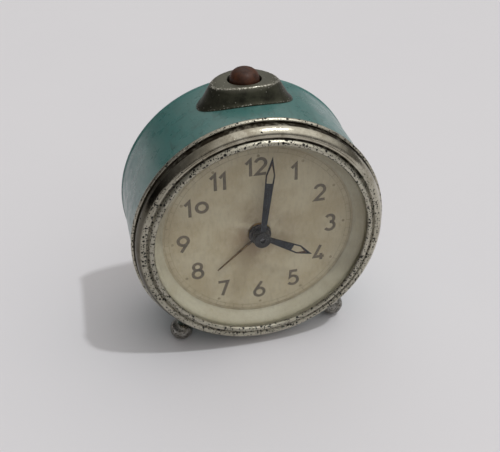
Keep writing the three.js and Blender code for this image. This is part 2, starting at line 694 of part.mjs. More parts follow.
/** The hammer with its verge pallets beside the alarm escape wheel. */
function hammer() {
  const head = { x: -3, z: -31.5 };
  let body = rod(PIVOT_RADIUS, ...ARBOR_ENDS, HAMMER).add(bar(HAMMER, head, 0.6, 13.4, 14.6));
  for (const swing of [30, -30]) {
    const pallet = polar(ALARM_ESCAPE, 6.4, -60 + swing);
    body = body.add(bar(HAMMER, pallet, 0.45, 12.4, 13.8));
  }
  return body.add(rod(2.2, 12, 16, head, 14));
}

// --------------------------------------------------------------------------------- keys and knobs behind

/** A butterfly key: a hub with a blind hole on the arbor's end, and two flat wings. */
function windingKey(place, turn) {
  const shape = new THREE.Shape();
  shape.moveTo(-2, 34.5);
  shape.bezierCurveTo(-5, 34.5, -9, 35.5, -9, 39);
  shape.bezierCurveTo(-9, 43, -3.5, 43.5, 0, 39.8);
  shape.bezierCurveTo(3.5, 43.5, 9, 43, 9, 39);
  shape.bezierCurveTo(9, 35.5, 5, 34.5, 2, 34.5);
  const settings = { depth: KEY_THICKNESS, bevelEnabled: false, curveSegments: 6 };
  const wings = new THREE.ExtrudeGeometry(shape, settings).translate(0, 0, -KEY_THICKNESS / 2);
  const hub = rod(2.8, GRIP_FRONT, KEY_HUB_REAR, place, 16);
  const bore = rod(WINDING_RADIUS + GAP, GRIP_FRONT - 1, ARBOR_REAR + 0.4, place, 12);
  return solid(wings.rotateY(-turn).translate(place.x, 0, place.z)).add(hub).subtract(bore);
}

/** A knurled knob with a blind hole. */
function settingKnob(place, radius) {
  const teeth = 18;
  const points = [];
  for (let i = 0; i < 2 * teeth; i += 1) {
    const reach = i % 2 ? radius : radius - 0.35;
    points.push([reach * Math.cos((Math.PI * i) / teeth), reach * Math.sin((Math.PI * i) / teeth)]);
  }
  const grip = slab(outlineOf(points), ...KNOB_GRIP, place).add(rod(2, GRIP_FRONT, 33.8, place, 14));
  return grip.subtract(rod(PIVOT_RADIUS + GAP, GRIP_FRONT - 1, ARBOR_REAR + GAP, place, 12));
}

// ------------------------------------------------------------------------------------------- the assembly

const clock = new THREE.Group();

function add(name, body, material) {
  const mesh = new THREE.Mesh(geometryOf(body), material);
  mesh.name = name;
  clock.add(mesh);
}

/** How far back the clock leans when the flats of its feet and the drum's rear rim touch one plane. */
function leanAngle() {
  const along = RIM_Y - FOOT_Y;
  const down = RIM_RADIUS + FOOT_Z;
  return Math.asin(BALL_FLAT / Math.hypot(along, down)) - Math.atan2(down, along);
}

const LEAN = leanAngle();

add('case_drum', caseDrum(), teal);
add('bezel', bezel(), nickel);
add('glass', glass(), clear);
add('dial_ring', dialRing(), cream);
add('dial', dial(), cream);
add('back_cover', backCover(), nickel);
COVER_PILLARS.forEach((place, i) => add(`cover_screw_${i + 1}`, coverScrew(place), steel));
for (const [name, side] of [['left', -1], ['right', 1]]) {
  add(`foot_${name}`, foot(side), nickel);
  add(`foot_nut_${name}`, footNut(side), steel);
}

add('button_housing', buttonHousing(), darkNickel);
add('alarm_button', alarmButton(), bakelite);
add('button_stem', buttonStem(), steel);
add('button_spring', buttonSpring(), steel);
add('stop_lever', stopLever(), steel);

add('minute_hand', minuteHand(), blueSteel);
add('hour_hand', hourHand(), blueSteel);
add('alarm_hand', alarmHand(), brass);
add('minute_arbor', minuteArbor(), steel);
add('cannon_pinion', cannonPinion(), steel);
add('minute_wheel', minuteWheel(), brass);
add('hour_wheel', hourWheel(), brass);
add('alarm_wheel', alarmWheel(), brass);
add('alarm_set_arbor', alarmSetArbor(), steel);

add('front_plate', frontPlate(), brass);
add('rear_plate', rearPlate(), brass);
COVER_PILLARS.forEach((place, i) => add(`pillar_${i + 1}`, coverPillar(place), steel));
add('pillar_4', topPillar(), steel);
add('time_winding_arbor', windingArbor(TIME_WIND), steel);
add('time_mainspring', mainspring(TIME_WIND), steel);
add('time_great_wheel', greatWheel(timeGreatData), brass);
add('time_click', click(TIME_WIND, 1), steel);
add('centre_wheel', centreWheel(), brass);
add('third_wheel', thirdWheel(), brass);
add('escape_wheel', escapeWheel(), brass);
add('pallet_lever', palletLever(), steel);
add('balance_wheel', balanceWheel(), brass);
add('hairspring', hairspring(), steel);
add('regulator_lever', regulatorLever(), steel);
add('alarm_winding_arbor', windingArbor(ALARM_WIND), steel);
add('alarm_mainspring', mainspring(ALARM_WIND), steel);
add('alarm_great_wheel', greatWheel(alarmGreatData), brass);
add('alarm_click', click(ALARM_WIND, -1), steel);
add('alarm_escape_wheel', alarmEscapeWheel(), brass);
add('hammer', hammer(), steel);

add('time_key', windingKey(TIME_WIND, 0.35), nickel);
add('alarm_key', windingKey(ALARM_WIND, -0.5), nickel);
add('hand_set_knob', settingKnob(CENTRE, 4.5), nickel);
add('alarm_set_knob', settingKnob(ALARM_SET, 3.8), nickel);

// The origin is the middle of the footprint, on the plane that the clock stands on.
clock.rotation.x = -LEAN;
clock.updateMatrixWorld(true);
const box = new THREE.Box3().setFromObject(clock, true);
clock.position.set(-(box.min.x + box.max.x) / 2, -(box.min.y + box.max.y) / 2, -box.min.z);

export default clock;
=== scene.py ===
"""Wind-up alarm clock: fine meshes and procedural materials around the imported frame.

Shapes are written in the clock's own frame, in millimetres: X to the right, Y along the dial's axis to the
back, Z up, with the origin on that axis just behind the bezel's lip. CLOCK takes them to the row frame.
"""
import json
import math

import bmesh
import bpy
from mathutils import Matrix, Vector, noise


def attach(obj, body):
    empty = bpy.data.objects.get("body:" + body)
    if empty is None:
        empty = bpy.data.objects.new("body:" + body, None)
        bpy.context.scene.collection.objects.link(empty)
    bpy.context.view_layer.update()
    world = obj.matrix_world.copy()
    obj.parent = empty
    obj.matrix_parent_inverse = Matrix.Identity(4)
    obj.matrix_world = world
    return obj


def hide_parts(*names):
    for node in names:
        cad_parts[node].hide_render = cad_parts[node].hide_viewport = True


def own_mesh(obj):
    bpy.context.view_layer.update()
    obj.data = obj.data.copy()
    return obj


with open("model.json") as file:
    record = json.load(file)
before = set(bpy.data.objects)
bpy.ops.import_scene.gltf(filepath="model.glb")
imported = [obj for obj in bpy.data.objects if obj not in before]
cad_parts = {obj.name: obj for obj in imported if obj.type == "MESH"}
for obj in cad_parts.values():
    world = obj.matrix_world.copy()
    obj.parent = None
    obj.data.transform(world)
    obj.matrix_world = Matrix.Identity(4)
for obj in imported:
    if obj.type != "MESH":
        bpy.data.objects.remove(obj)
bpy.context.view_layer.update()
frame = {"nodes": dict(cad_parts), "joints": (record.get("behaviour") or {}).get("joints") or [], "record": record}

MM = 0.001
CENTRE = (0.0, 0.0)  # the dial's axis, as (x, z) in the clock's frame


# ---- the frame
def joint(name):
    """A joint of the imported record."""
    return next(j for j in frame["joints"] if j["name"] == name)


JOINT_DEPTH = 10.0  # joints on the dial's axis are stated this far behind the bezel's lip
AXIS = Vector(joint("minute_turn")["axis"]).normalized()
ORIGIN = Vector(joint("minute_turn")["pos_m"]) - AXIS * JOINT_DEPTH * MM
LEAN = math.atan2(-AXIS.z, AXIS.y)
TURN = Matrix.Rotation(-LEAN, 4, "X")
CLOCK = Matrix.Translation(ORIGIN) @ TURN @ Matrix.Scale(MM, 4)


def place_of(name):
    """(x, z) in the clock's frame of a joint whose axis is parallel to the dial's."""
    local = CLOCK.inverted() @ Vector(joint(name)["pos_m"])
    return (local.x, local.z)


def extent(node):
    """A node's box in the clock's frame, from its own vertices."""
    back = CLOCK.inverted()
    points = [back @ v.co for v in frame["nodes"][node].data.vertices]
    return [(min(p[k] for p in points), max(p[k] for p in points)) for k in range(3)]


# Depths and radii that the frame gives
BEZEL_RADIUS = extent("bezel")[0][1]
RIM_RADIUS = extent("case_drum")[0][1]
DRUM_FRONT, DRUM_REAR = extent("case_drum")[1]
DIAL_Y = extent("dial")[1][0]
BUTTON_TOP = extent("alarm_button")[2][1]
BUTTON_Y = sum(extent("alarm_button")[1]) / 2
COVER_FRONT = extent("back_cover")[1][0]

# The case
ROUND = 256  # sides of a full circle on the largest pieces
DRUM_RADIUS = 41.4
DRUM_WALL = 0.7
RIM_STEP = 30.3  # where the drum's wall starts to rise to its rear rim
STEM_HOLE = 2.2
STUD_HOLE = 1.6
SKIRT_RADIUS = 40.4
SKIRT_BORE = 39.9
SKIRT_REAR = 2.6
BEZEL_WOBBLE = 0.06
GLASS_EDGE, GLASS_REAR, GLASS_THICK, GLASS_RISE = 36.8, -3.05, 0.9, 1.9
DIAL_HOLE, DIAL_RADIUS, DIAL_THICK = 3.9, 38.5, 0.5

# The stop button and its housing: half lengths of its base and plateau, across and along the drum
HOUSING_BASE = (15.5, 8.9)
HOUSING_TOP = (10.8, 7.2)
HOUSING_TOP_RADIUS = 47.0
HOUSING_WALL = 0.7
HOUSING_SIDES = 128
BUTTON_HOLE = 5.4
SPRING_WIRE = 0.25
SPRING_TURNS = 3

# The feet and the back
FOOT_BALL = 4.0
COVER_THICK = 0.7
CUT_MARGIN = 1.0
COVER_RADIUS = 40.4
COVER_HOLES = (
    (CENTRE, 1.8), (place_of("alarm_set_turn"), 1.8),
    (place_of("time_winding_turn"), 2.2), (place_of("alarm_winding_turn"), 2.2),
)
REGULATOR_SLOT = (8.5, 11.5, 19, 71)  # inner and outer radius, first and last angle
SCREW_FACE = 31.0

# The floor, in metres, and the light. Directions run clockwise from +Y, and upwards
FLOOR_REACH = 3.0
FLOOR_GAP = 0.0001
SUN_PLACE = (math.radians(115), math.radians(67))
SUN_ENERGY = 0.85
SUN_WIDTH = math.radians(2.5)
SUN_COLOUR = (0.96, 0.985, 1.0)
ROOM_HEIGHT = (0.1, 0.75, 0.14, 1.02)  # brightness from a to b as the height goes from low to high
ROOM_SIDE = (-0.75, 0.1, 0.12, 1.0)  # the same from left to right


# ---- mesh tools
SHARP_ANGLE = 35


def add_object(name, data):
    """A new object in the scene, of a bmesh or of other data."""
    if isinstance(data, bmesh.types.BMesh):
        mesh = bpy.data.meshes.new(name)
        data.to_mesh(mesh)
        data.free()
        data = mesh
    item = bpy.data.objects.new(name, data)
    bpy.context.scene.collection.objects.link(item)
    return item


def finish_mesh(name, bm, body, material, replaces=(), sharp_angle=SHARP_ANGLE):
    """Makes an object of a bmesh that is in the clock's frame, and lets it ride on a body."""
    bmesh.ops.remove_doubles(bm, verts=bm.verts, dist=1e-5)
    bmesh.ops.recalc_face_normals(bm, faces=bm.faces)
    bm.transform(CLOCK)
    piece = add_object(name, bm)
    shade_smooth(piece.data, sharp_angle)
    piece.data.materials.append(material)
    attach(piece, body)
    if replaces:
        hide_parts(*replaces)
    return piece


def soften(points, closed=True, steps=4):
    """Rounds an outline's corners. Points are (radius, y, corner radius)."""
    out = []
    count = len(points)
    for i, (r, y, *rest) in enumerate(points):
        corner = rest[0] if rest else 0.0
        here = Vector((r, y))
        if corner <= 0 or (not closed and i in (0, count - 1)):
            out.append((r, y))
            continue
        before = Vector(points[i - 1][:2]) - here
        after = Vector(points[(i + 1) % count][:2]) - here
        reach = min(corner, before.length * 0.49, after.length * 0.49)
        a = here + before.normalized() * reach
        b = here + after.normalized() * reach
        for k in range(steps + 1):
            t = k / steps
            p = a * (1 - t) ** 2 + here * 2 * t * (1 - t) + b * t * t
            out.append((p.x, p.y))
    return out


def revolve(bm, profile, sides, place=CENTRE, closed=True, matrix=None):
    """Revolves (radius, y) points about an axis parallel to the dial's, or carried by a matrix."""
    rings = []
    for r, y in profile:
        if r < 1e-6:
            rings.append([bm.verts.new((place[0], y, place[1]))])
            continue
        ring = []
        for i in range(sides):
            a = 2 * math.pi * i / sides
            ring.append(bm.verts.new((place[0] + r * math.sin(a), y, place[1] + r * math.cos(a))))
        rings.append(ring)
    pairs = list(zip(rings, rings[1:])) + ([(rings[-1], rings[0])] if closed else [])
    for low, high in pairs:
        for i in range(sides):
            j = (i + 1) % sides
            corners = []
            for v in (low[i % len(low)], low[j % len(low)], high[j % len(high)], high[i % len(high)]):
                if v not in corners:
                    corners.append(v)
            if len(corners) > 2:
                bm.faces.new(corners)
    if matrix is not None:
        bmesh.ops.transform(bm, matrix=matrix, verts=[v for ring in rings for v in ring])
    return rings


def slab(bm, low, high):
    """A closed slab between two loops of points. Returns its two large faces."""
    low = [bm.verts.new(p) for p in low]
    high = [bm.verts.new(p) for p in high]
    for i in range(len(low)):
        j = (i + 1) % len(low)
        bm.faces.new((low[i], high[i], high[j], low[j]))
    return [bm.faces.new(low), bm.faces.new(list(reversed(high)))]


def prism(bm, outline, front, rear):
    """A closed slab of an (x, z) outline between two depths."""
    slab(bm, [(x, front, z) for x, z in outline], [(x, rear, z) for x, z in outline])


def frame_prism(bm, outline, window, front, rear):
    """A slab whose window has as many points as its outline, and the attribute rim at the window's sides."""
    layer = bm.verts.layers.float.new("rim")
    loops = []
    for y in (front, rear):
        for ring in (outline, window):
            loops.append([bm.verts.new((x, y, z)) for x, z in ring])
    outer_low, inner_low, outer_high, inner_high = loops
    for v in inner_low[2:-2] + inner_high[2:-2]:
        v[layer] = 1.0
    for i in range(len(outline)):
        j = (i + 1) % len(outline)
        bm.faces.new((outer_low[i], outer_low[j], inner_low[j], inner_low[i]))
        bm.faces.new((outer_high[j], outer_high[i], inner_high[i], inner_high[j]))
        bm.faces.new((outer_low[j], outer_low[i], outer_high[i], outer_high[j]))
        bm.faces.new((inner_low[i], inner_low[j], inner_high[j], inner_high[i]))


def arc(cx, cz, radius, start, end, steps):
    """Points along an arc: angles in degrees, anticlockwise from +X."""
    angles = [math.radians(start + (end - start) * i / steps) for i in range(steps + 1)]
    return [(cx + radius * math.cos(a), cz + radius * math.sin(a)) for a in angles]


def turned_points(points, degrees):
    """Turns (x, z) points that are drawn at 12 o'clock clockwise about the dial's centre."""
    a = math.radians(-degrees)
    return [(x * math.cos(a) - z * math.sin(a), x * math.sin(a) + z * math.cos(a)) for x, z in points]


def shade_smooth(mesh, sharp_angle):
    """Smooth shading, with edges sharp above an angle in degrees."""
    for face in mesh.polygons:
        face.use_smooth = True
    mesh.set_sharp_from_angle(angle=math.radians(sharp_angle))


def cut(piece, cutters):
    """Subtracts closed bmeshes, given in the clock's frame, from a piece."""
    for bm in cutters:
        bmesh.ops.recalc_face_normals(bm, faces=bm.faces)
        bm.transform(CLOCK)
        tool = add_object("cutter", bm)
        step = piece.modifiers.new("cut", "BOOLEAN")
        step.object = tool
        step.operation = "DIFFERENCE"
        step.solver = "EXACT"
        bpy.context.view_layer.update()
        shaped = piece.evaluated_get(bpy.context.evaluated_depsgraph_get())
        result = bpy.data.meshes.new_from_object(shaped)
        piece.modifiers.clear()
        piece.data = result
        bpy.data.objects.remove(tool)
    shade_smooth(piece.data, SHARP_ANGLE)


# ---- materials
def srgb(r, g, b):
    """An sRGB colour, 0 to 255, as linear RGBA."""
    out = []
    for c in (r, g, b):
        c = c / 255
        out.append(c / 12.92 if c <= 0.04045 else ((c + 0.055) / 1.055) ** 2.4)
    return (*out, 1.0)


def smooth_step(tree, value, low, high, a, b):
    """A node whose output goes from a to b as the value goes from low to high."""
    node = tree.nodes.new("ShaderNodeMapRange")
    node.interpolation_type = "SMOOTHSTEP"
    for key, number in (("From Min", low), ("From Max", high), ("To Min", a), ("To Max", b)):
        node.inputs[key].default_value = number
    tree.links.new(value, node.inputs["Value"])
    return node.outputs["Result"]


class Nodes:
    """Short calls for building one material's node tree in the clock's millimetres."""

    def __init__(self, name):
        self.material = bpy.data.materials.new(name)
        self.material.use_nodes = True
        self.tree = self.material.node_tree
        self.shader = self.tree.nodes["Principled BSDF"]
        where = self.new("ShaderNodeTexCoord")
        mapping = self.new("ShaderNodeMapping")
        shift = TURN.inverted() @ (-ORIGIN / MM)
        mapping.inputs["Scale"].default_value = (1 / MM,) * 3
        mapping.inputs["Rotation"].default_value = (LEAN, 0, 0)
        mapping.inputs["Location"].default_value = shift
        self.link(where.outputs["Object"], mapping.inputs["Vector"])
        self.mm = mapping.outputs["Vector"]

    def new(self, kind, **values):
        node = self.tree.nodes.new(kind)
        for key, value in values.items():
            setattr(node, key, value)
        return node

    def link(self, a, b):
        self.tree.links.new(a, b)

    def set(self, socket, value):
        if isinstance(value, bpy.types.NodeSocket):
            self.link(value, socket)
        else:
            socket.default_value = value

    def stretch(self, x, y, z):
        """The clock's coordinates scaled along each axis."""
        node = self.new("ShaderNodeMapping")
        self.link(self.mm, node.inputs["Vector"])
        node.inputs["Scale"].default_value = (x, y, z)
        return node.outputs["Vector"]

    def noise(self, scale, detail=4.0, rough=0.55, where=None, distortion=0.0):
        node = self.new("ShaderNodeTexNoise")
        self.link(where or self.mm, node.inputs["Vector"])
        node.inputs["Scale"].default_value = scale
        node.inputs["Detail"].default_value = detail
        node.inputs["Roughness"].default_value = rough
        node.inputs["Distortion"].default_value = distortion
        return node.outputs["Fac"]

    def specks(self, scale, small, large, amount=1.0):
        """Round dark specks of varied size: radii as shares of a cell, scale in cells per millimetre."""
        node = self.new("ShaderNodeTexVoronoi")
        self.link(self.mm, node.inputs["Vector"])
        node.inputs["Scale"].default_value = scale
        size = self.new("ShaderNodeSeparateColor")
        self.link(node.outputs["Color"], size.inputs[0])
        reach = self.ramp(size.outputs[0], 0.0, 1.0, small, large)
        inside = self.math("SUBTRACT", reach, node.outputs["Distance"])
        return self.ramp(inside, 0.0, 0.1, 0.0, amount)

    def ramp(self, value, low, high, a=0.0, b=1.0):
        return smooth_step(self.tree, value, low, high, a, b)

    def clouds(self, *settings):
        """Soft patches, from 0 to 1, of a noise with these settings."""
        return self.ramp(self.noise(*settings), 0.35, 0.7)

    def math(self, operation, a, b=0.0):
        node = self.new("ShaderNodeMath", operation=operation)
        self.set(node.inputs[0], a)
        self.set(node.inputs[1], b)
        return node.outputs[0]

    def times(self, a, b):
        return self.math("MULTIPLY", a, b)

    def highest(self, first, *others):
        for value in others:
            first = self.math("MAXIMUM", first, value)
        return first

    def mix(self, factor, a, b):
        node = self.new("ShaderNodeMix", data_type="RGBA")
        self.set(node.inputs["Factor"], factor)
        self.set(node.inputs[6], a)
        self.set(node.inputs[7], b)
        return node.outputs[2]

    def blend(self, factor, a, b):
        """Mixes two numbers."""
        node = self.new("ShaderNodeMix", data_type="FLOAT")
        self.set(node.inputs["Factor"], factor)
        self.set(node.inputs[2], a)
        self.set(node.inputs[3], b)
        return node.outputs[0]

    def radius(self):
        """Distance from the dial's axis, in millimetres."""
        split = self.new("ShaderNodeSeparateXYZ")
        self.link(self.mm, split.inputs[0])
        x2 = self.times(split.outputs[0], split.outputs[0])
        z2 = self.times(split.outputs[2], split.outputs[2])
        return self.math("SQRT", self.math("ADD", x2, z2))

    def along(self, axis):
        split = self.new("ShaderNodeSeparateXYZ")
        self.link(self.mm, split.inputs[0])
        return split.outputs[axis]

    def attribute(self, name):
        return self.new("ShaderNodeAttribute", attribute_name=name).outputs["Fac"]

    def bump(self, height, strength, distance_mm):
        node = self.new("ShaderNodeBump")
        self.link(height, node.inputs["Height"])
        node.inputs["Strength"].default_value = strength
        node.inputs["Distance"].default_value = distance_mm * MM
        return node.outputs["Normal"]

    def output(self, **values):
        """Sets the shader's inputs by name, with _ for a space."""
        for key, value in values.items():
            self.set(self.shader.inputs[key.replace("_", " ")], value)
        return self.material


def teal_paint():
    """The drum's paint: cloudy, scuffed, and chipped along both edges."""
    n = Nodes("teal_paint")
    patches = n.noise(0.055, 3, 0.5)
    grain = n.noise(1.6, 5, 0.6)
    streaks = n.noise(0.9, 3, 0.6, n.stretch(1, 0.18, 1))
    tone = n.mix(n.ramp(patches, 0.35, 0.68), srgb(58, 110, 106), srgb(80, 118, 113))
    tone = n.mix(n.ramp(streaks, 0.5, 0.75, 0, 0.45), tone, srgb(48, 78, 76))
    scuffs = n.ramp(n.noise(0.28, 6, 0.72, distortion=0.8), 0.53, 0.7, 0, 0.5)
    tone = n.mix(scuffs, tone, srgb(58, 78, 74))
    tone = n.mix(n.ramp(grain, 0.4, 0.8, 0, 0.18), tone, srgb(110, 140, 130))
    rear_edge = n.ramp(n.along(1), RIM_STEP + 0.1, RIM_STEP + 1.2)
    front_edge = n.ramp(n.along(1), 2.4, 0.8)
    edge = n.highest(rear_edge, front_edge)
    chipping = n.math("ADD", n.noise(1.3, 5, 0.65), n.times(edge, 0.16))
    chips = n.ramp(chipping, 0.735, 0.755)
    tone = n.mix(chips, tone, srgb(58, 52, 44))
    rough = n.blend(n.clouds(0.22, 4, 0.6), 0.26, 0.42)
    rough = n.blend(chips, rough, 0.6)
    surface = n.math("ADD", n.times(n.noise(0.9, 2), 0.5), n.times(chips, -0.6))
    return n.output(Base_Color=tone, Roughness=rough, Metallic=n.times(chips, 0.5),
                    Coat_Weight=0.3, Coat_Roughness=0.2, Normal=n.bump(surface, 0.25, 0.12))


def worn_nickel(name, pitted, tarnish=0.4, light=srgb(205, 200, 186), dull=srgb(168, 160, 142)):
    """Old nickel plate. Pitted is how far corrosion has gone, from 0 to 1."""
    n = Nodes(name)
    plate = n.mix(n.clouds(0.16, 4, 0.6), light, dull)
    film = n.ramp(n.noise(0.4, 6, 0.7, distortion=0.6), 0.5, 0.72, 0, tarnish)
    plate = n.mix(film, plate, srgb(104, 92, 72))
    zone = n.ramp(n.noise(0.12, 2, 0.5), 0.38, 0.62)
    depth = n.math("ADD", n.noise(1.9, 6, 0.72), n.times(zone, 0.07 * pitted))
    pits = n.ramp(depth, 0.63 - 0.03 * pitted, 0.67 - 0.03 * pitted)
    dark = n.highest(pits, n.specks(1.5, -0.5, 0.2 + 0.2 * pitted, pitted))
    tone = n.mix(dark, plate, srgb(38, 33, 26))
    rough = n.blend(n.clouds(0.6, 5, 0.65), 0.2, 0.38)
    rough = n.blend(dark, rough, 0.75)
    height = n.math("SUBTRACT", n.times(n.noise(2.5, 4), 0.25), dark)
    return n.output(Base_Color=tone, Metallic=n.blend(dark, 1.0, 0.35), Roughness=rough,
                    Normal=n.bump(height, 0.45, 0.12))


def bezel_nickel():
    """The bezel's plate: pitted on the bead, and on the shoulder beside it to the right and below, with painted
    shade in its grooves and a painted dark reflection on its left side.
    """
    n = Nodes("bezel_nickel")
    r = n.radius()
    sideways = n.times(n.along(0), 1 / BEZEL_RADIUS)
    downward = n.times(n.along(2), -1 / BEZEL_RADIUS)
    quarter = n.ramp(n.math("ADD", n.times(sideways, 0.55), downward), -0.35, 0.25)
    left = n.ramp(sideways, -0.45, -0.85)
    exposed = n.highest(quarter, left)
    bead = n.ramp(r, 37.6, 36.9)
    shoulder = n.times(n.ramp(r, 40.2, 38.6), exposed)
    lip = n.ramp(r, 41.1, 41.6)
    worn = n.highest(bead, shoulder, n.times(lip, 0.8))
    plate = n.mix(n.ramp(n.noise(0.1, 4, 0.6), 0.35, 0.68), srgb(196, 191, 175), srgb(150, 143, 126))
    film = n.ramp(n.noise(0.35, 6, 0.7, distortion=0.7), 0.48, 0.75, 0, 0.5)
    plate = n.mix(film, plate, srgb(98, 88, 68))
    plate = n.mix(n.times(worn, 0.6), plate, srgb(196, 192, 176))
    # Painted shade: the grooves, the glass's edge and the joint under the lip are darkened in patches, less where
    # the plate is exposed.
    painted_groove_shade = n.highest(
        n.ramp(r, 35.45, 35.2), n.times(n.ramp(r, 36.95, 37.15), n.ramp(r, 38.1, 37.75)),
        n.times(n.ramp(r, 40.7, 40.85), n.ramp(r, 41.35, 41.15)))
    painted_groove_shade = n.times(painted_groove_shade, n.ramp(n.noise(0.5, 4, 0.6), 0.3, 0.55, 0.55, 1.0))
    painted_groove_shade = n.times(painted_groove_shade, n.ramp(exposed, 0.3, 1.0, 1.0, 0.35))
    # Painted shade: a dark reflection painted on the left side, lighter on the worn bands; both painted shades are
    # mixed in on the next line.
    shade = n.times(left, n.ramp(worn, 0.0, 0.6, 0.8, 0.2))
    plate = n.mix(n.highest(painted_groove_shade, shade), plate, srgb(44, 38, 28))
    small = n.specks(1.7, -0.05, 0.55)
    coarse = n.specks(0.95, -0.2, 0.5)
    corroded = n.ramp(n.math("ADD", n.noise(0.5, 5, 0.7), n.times(worn, 0.14)), 0.46, 0.56)
    reach = n.times(n.ramp(worn, 0.2, 0.6), corroded)
    pits = n.times(n.highest(small, coarse), reach)
    patches = n.ramp(n.math("ADD", n.noise(1.2, 6, 0.75), n.times(worn, 0.07)), 0.655, 0.69)
    freckles = n.specks(0.45, -0.6, 0.2)
    dark = n.highest(pits, patches, freckles)
    tone = n.mix(dark, plate, srgb(16, 14, 11))
    rough = n.blend(n.clouds(0.5, 5, 0.65), 0.14, 0.28)
    rough = n.blend(n.times(worn, 0.8), rough, 0.46)
    rough = n.blend(n.highest(dark, n.times(painted_groove_shade, 0.7)), rough, 0.7)
    height = n.math("SUBTRACT", n.times(n.noise(2.0, 4), 0.2), dark)
    return n.output(Base_Color=tone, Metallic=n.blend(dark, 1.0, 0.3), Roughness=rough,
                    Normal=n.bump(height, 0.55, 0.15))


def dark_nickel():
    """The button housing: dark olive tarnish, worn bright along its upper edge and in specks, with painted light
    towards its top.
    """
    n = Nodes("dark_nickel")
    edge = n.attribute("edge")
    tone = n.mix(n.clouds(0.25, 5, 0.65), srgb(80, 80, 66), srgb(50, 49, 40))
    # Painted light: the flank grows lighter towards the plateau, as if lit from above.
    painted_top_light = n.ramp(n.along(2), HOUSING_TOP_RADIUS - 2.0, HOUSING_TOP_RADIUS - 0.4, 0, 0.45)
    tone = n.mix(painted_top_light, tone, srgb(140, 138, 124))
    wear = n.math("ADD", n.noise(1.8, 6, 0.7), n.times(edge, 0.24))
    bright = n.highest(n.ramp(wear, 0.68, 0.76), n.specks(1.1, -0.6, 0.24, 0.8))
    tone = n.mix(bright, tone, srgb(196, 193, 180))
    pits = n.ramp(n.noise(2.6, 5, 0.7), 0.62, 0.68)
    tone = n.mix(n.times(pits, 0.7), tone, srgb(28, 27, 22))
    rough = n.blend(bright, n.blend(pits, 0.42, 0.7), 0.28)
    height = n.math("SUBTRACT", n.times(n.noise(1.4, 6, 0.7), 0.8), pits)
    return n.output(Base_Color=tone, Metallic=0.85, Roughness=rough, Normal=n.bump(height, 0.4, 0.15))


def bakelite():
    """The stop button: brown, with fine lighter flecks."""
    n = Nodes("brown_bakelite")
    tone = n.mix(n.clouds(0.35, 5, 0.65), srgb(78, 45, 28), srgb(50, 28, 18))
    flecks = n.ramp(n.noise(3.2, 5, 0.7), 0.6, 0.7, 0, 0.5)
    tone = n.mix(flecks, tone, srgb(122, 90, 68))
    rough = n.blend(n.clouds(0.9, 5, 0.6), 0.42, 0.6)
    return n.output(Base_Color=tone, Roughness=rough, Specular_IOR_Level=0.3,
                    Normal=n.bump(n.noise(2.2, 5, 0.65), 0.25, 0.1))


def aged_cream(name, light, dark, stained):
    """Aged paint of the dial and its border, with brown stains around the middle if stained is over 0."""
    n = Nodes(name)
    cloud = n.noise(0.09, 5, 0.6)
    tone = n.mix(n.ramp(cloud, 0.33, 0.68), light, dark)
    fibres = n.noise(1.1, 5, 0.65, n.stretch(1, 1, 0.35))
    tone = n.mix(n.ramp(fibres, 0.4, 0.8, 0, 0.22), tone, srgb(118, 104, 84))
    if stained > 0:
        near = n.ramp(n.radius(), 17.0, 2.5)
        blot = n.times(near, n.ramp(n.noise(0.13, 5, 0.6, distortion=0.5), 0.3, 0.65))
        tone = n.mix(n.times(blot, stained), tone, srgb(128, 96, 66))
        # Darker in patches towards the dial's rim, at the foot of the border.
        ring = n.times(n.ramp(n.radius(), 30.5, 32.4), n.ramp(n.noise(0.3, 4, 0.6), 0.4, 0.7))
        tone = n.mix(n.times(ring, 0.4), tone, srgb(112, 98, 76))
    specks = n.ramp(n.noise(2.4, 4, 0.7), 0.68, 0.74, 0, 0.35)
    tone = n.mix(specks, tone, srgb(92, 78, 60))
    rough = n.blend(cloud, 0.5, 0.68)
    return n.output(Base_Color=tone, Roughness=rough, Normal=n.bump(n.noise(1.5, 5), 0.15, 0.05))


def faded_ink(name, scale, fade_end, dark, light):
    """Ink that has faded in patches."""
    n = Nodes(name)
    fade = n.ramp(n.noise(scale, 5, 0.7), 0.3, fade_end)
    tone = n.mix(fade, dark, light)
    return n.output(Base_Color=tone, Roughness=n.blend(fade, 0.5, 0.7))


def blued_steel():
    """The hands: blued steel with a little rust, brown beside the windows and black at the hub."""
    n = Nodes("blued_steel")
    tone = n.mix(n.clouds(0.3, 5, 0.65), srgb(38, 43, 50), srgb(26, 28, 28))
    rust = n.ramp(n.noise(1.2, 6, 0.75), 0.62, 0.72, 0, 0.6)
    tone = n.mix(rust, tone, srgb(84, 62, 42))
    tone = n.mix(n.ramp(n.attribute("rim"), 0.5, 0.85, 0, 0.8), tone, srgb(96, 70, 48))
    hub = n.ramp(n.radius(), 3.4, 3.0)
    tone = n.mix(hub, tone, srgb(12, 13, 12))
    rough = n.blend(n.clouds(1.5, 4), 0.3, 0.5)
    return n.output(Base_Color=tone, Metallic=n.blend(hub, 0.7, 0.2), Roughness=rough,
                    Normal=n.bump(n.noise(2.5, 4), 0.2, 0.05))


def plain_metal(name, light, dark, rough_low, rough_high):
    """Brass or steel of the movement, with turning marks and a light tarnish."""
    n = Nodes(name)
    tone = n.mix(n.clouds(0.2, 5, 0.6), light, dark)
    marks = n.noise(1.0, 2, 0.5, n.stretch(6, 0.6, 6))
    rough = n.blend(n.ramp(marks, 0.35, 0.7), rough_low, rough_high)
    return n.output(Base_Color=tone, Metallic=1.0, Roughness=rough, Normal=n.bump(marks, 0.15, 0.03))


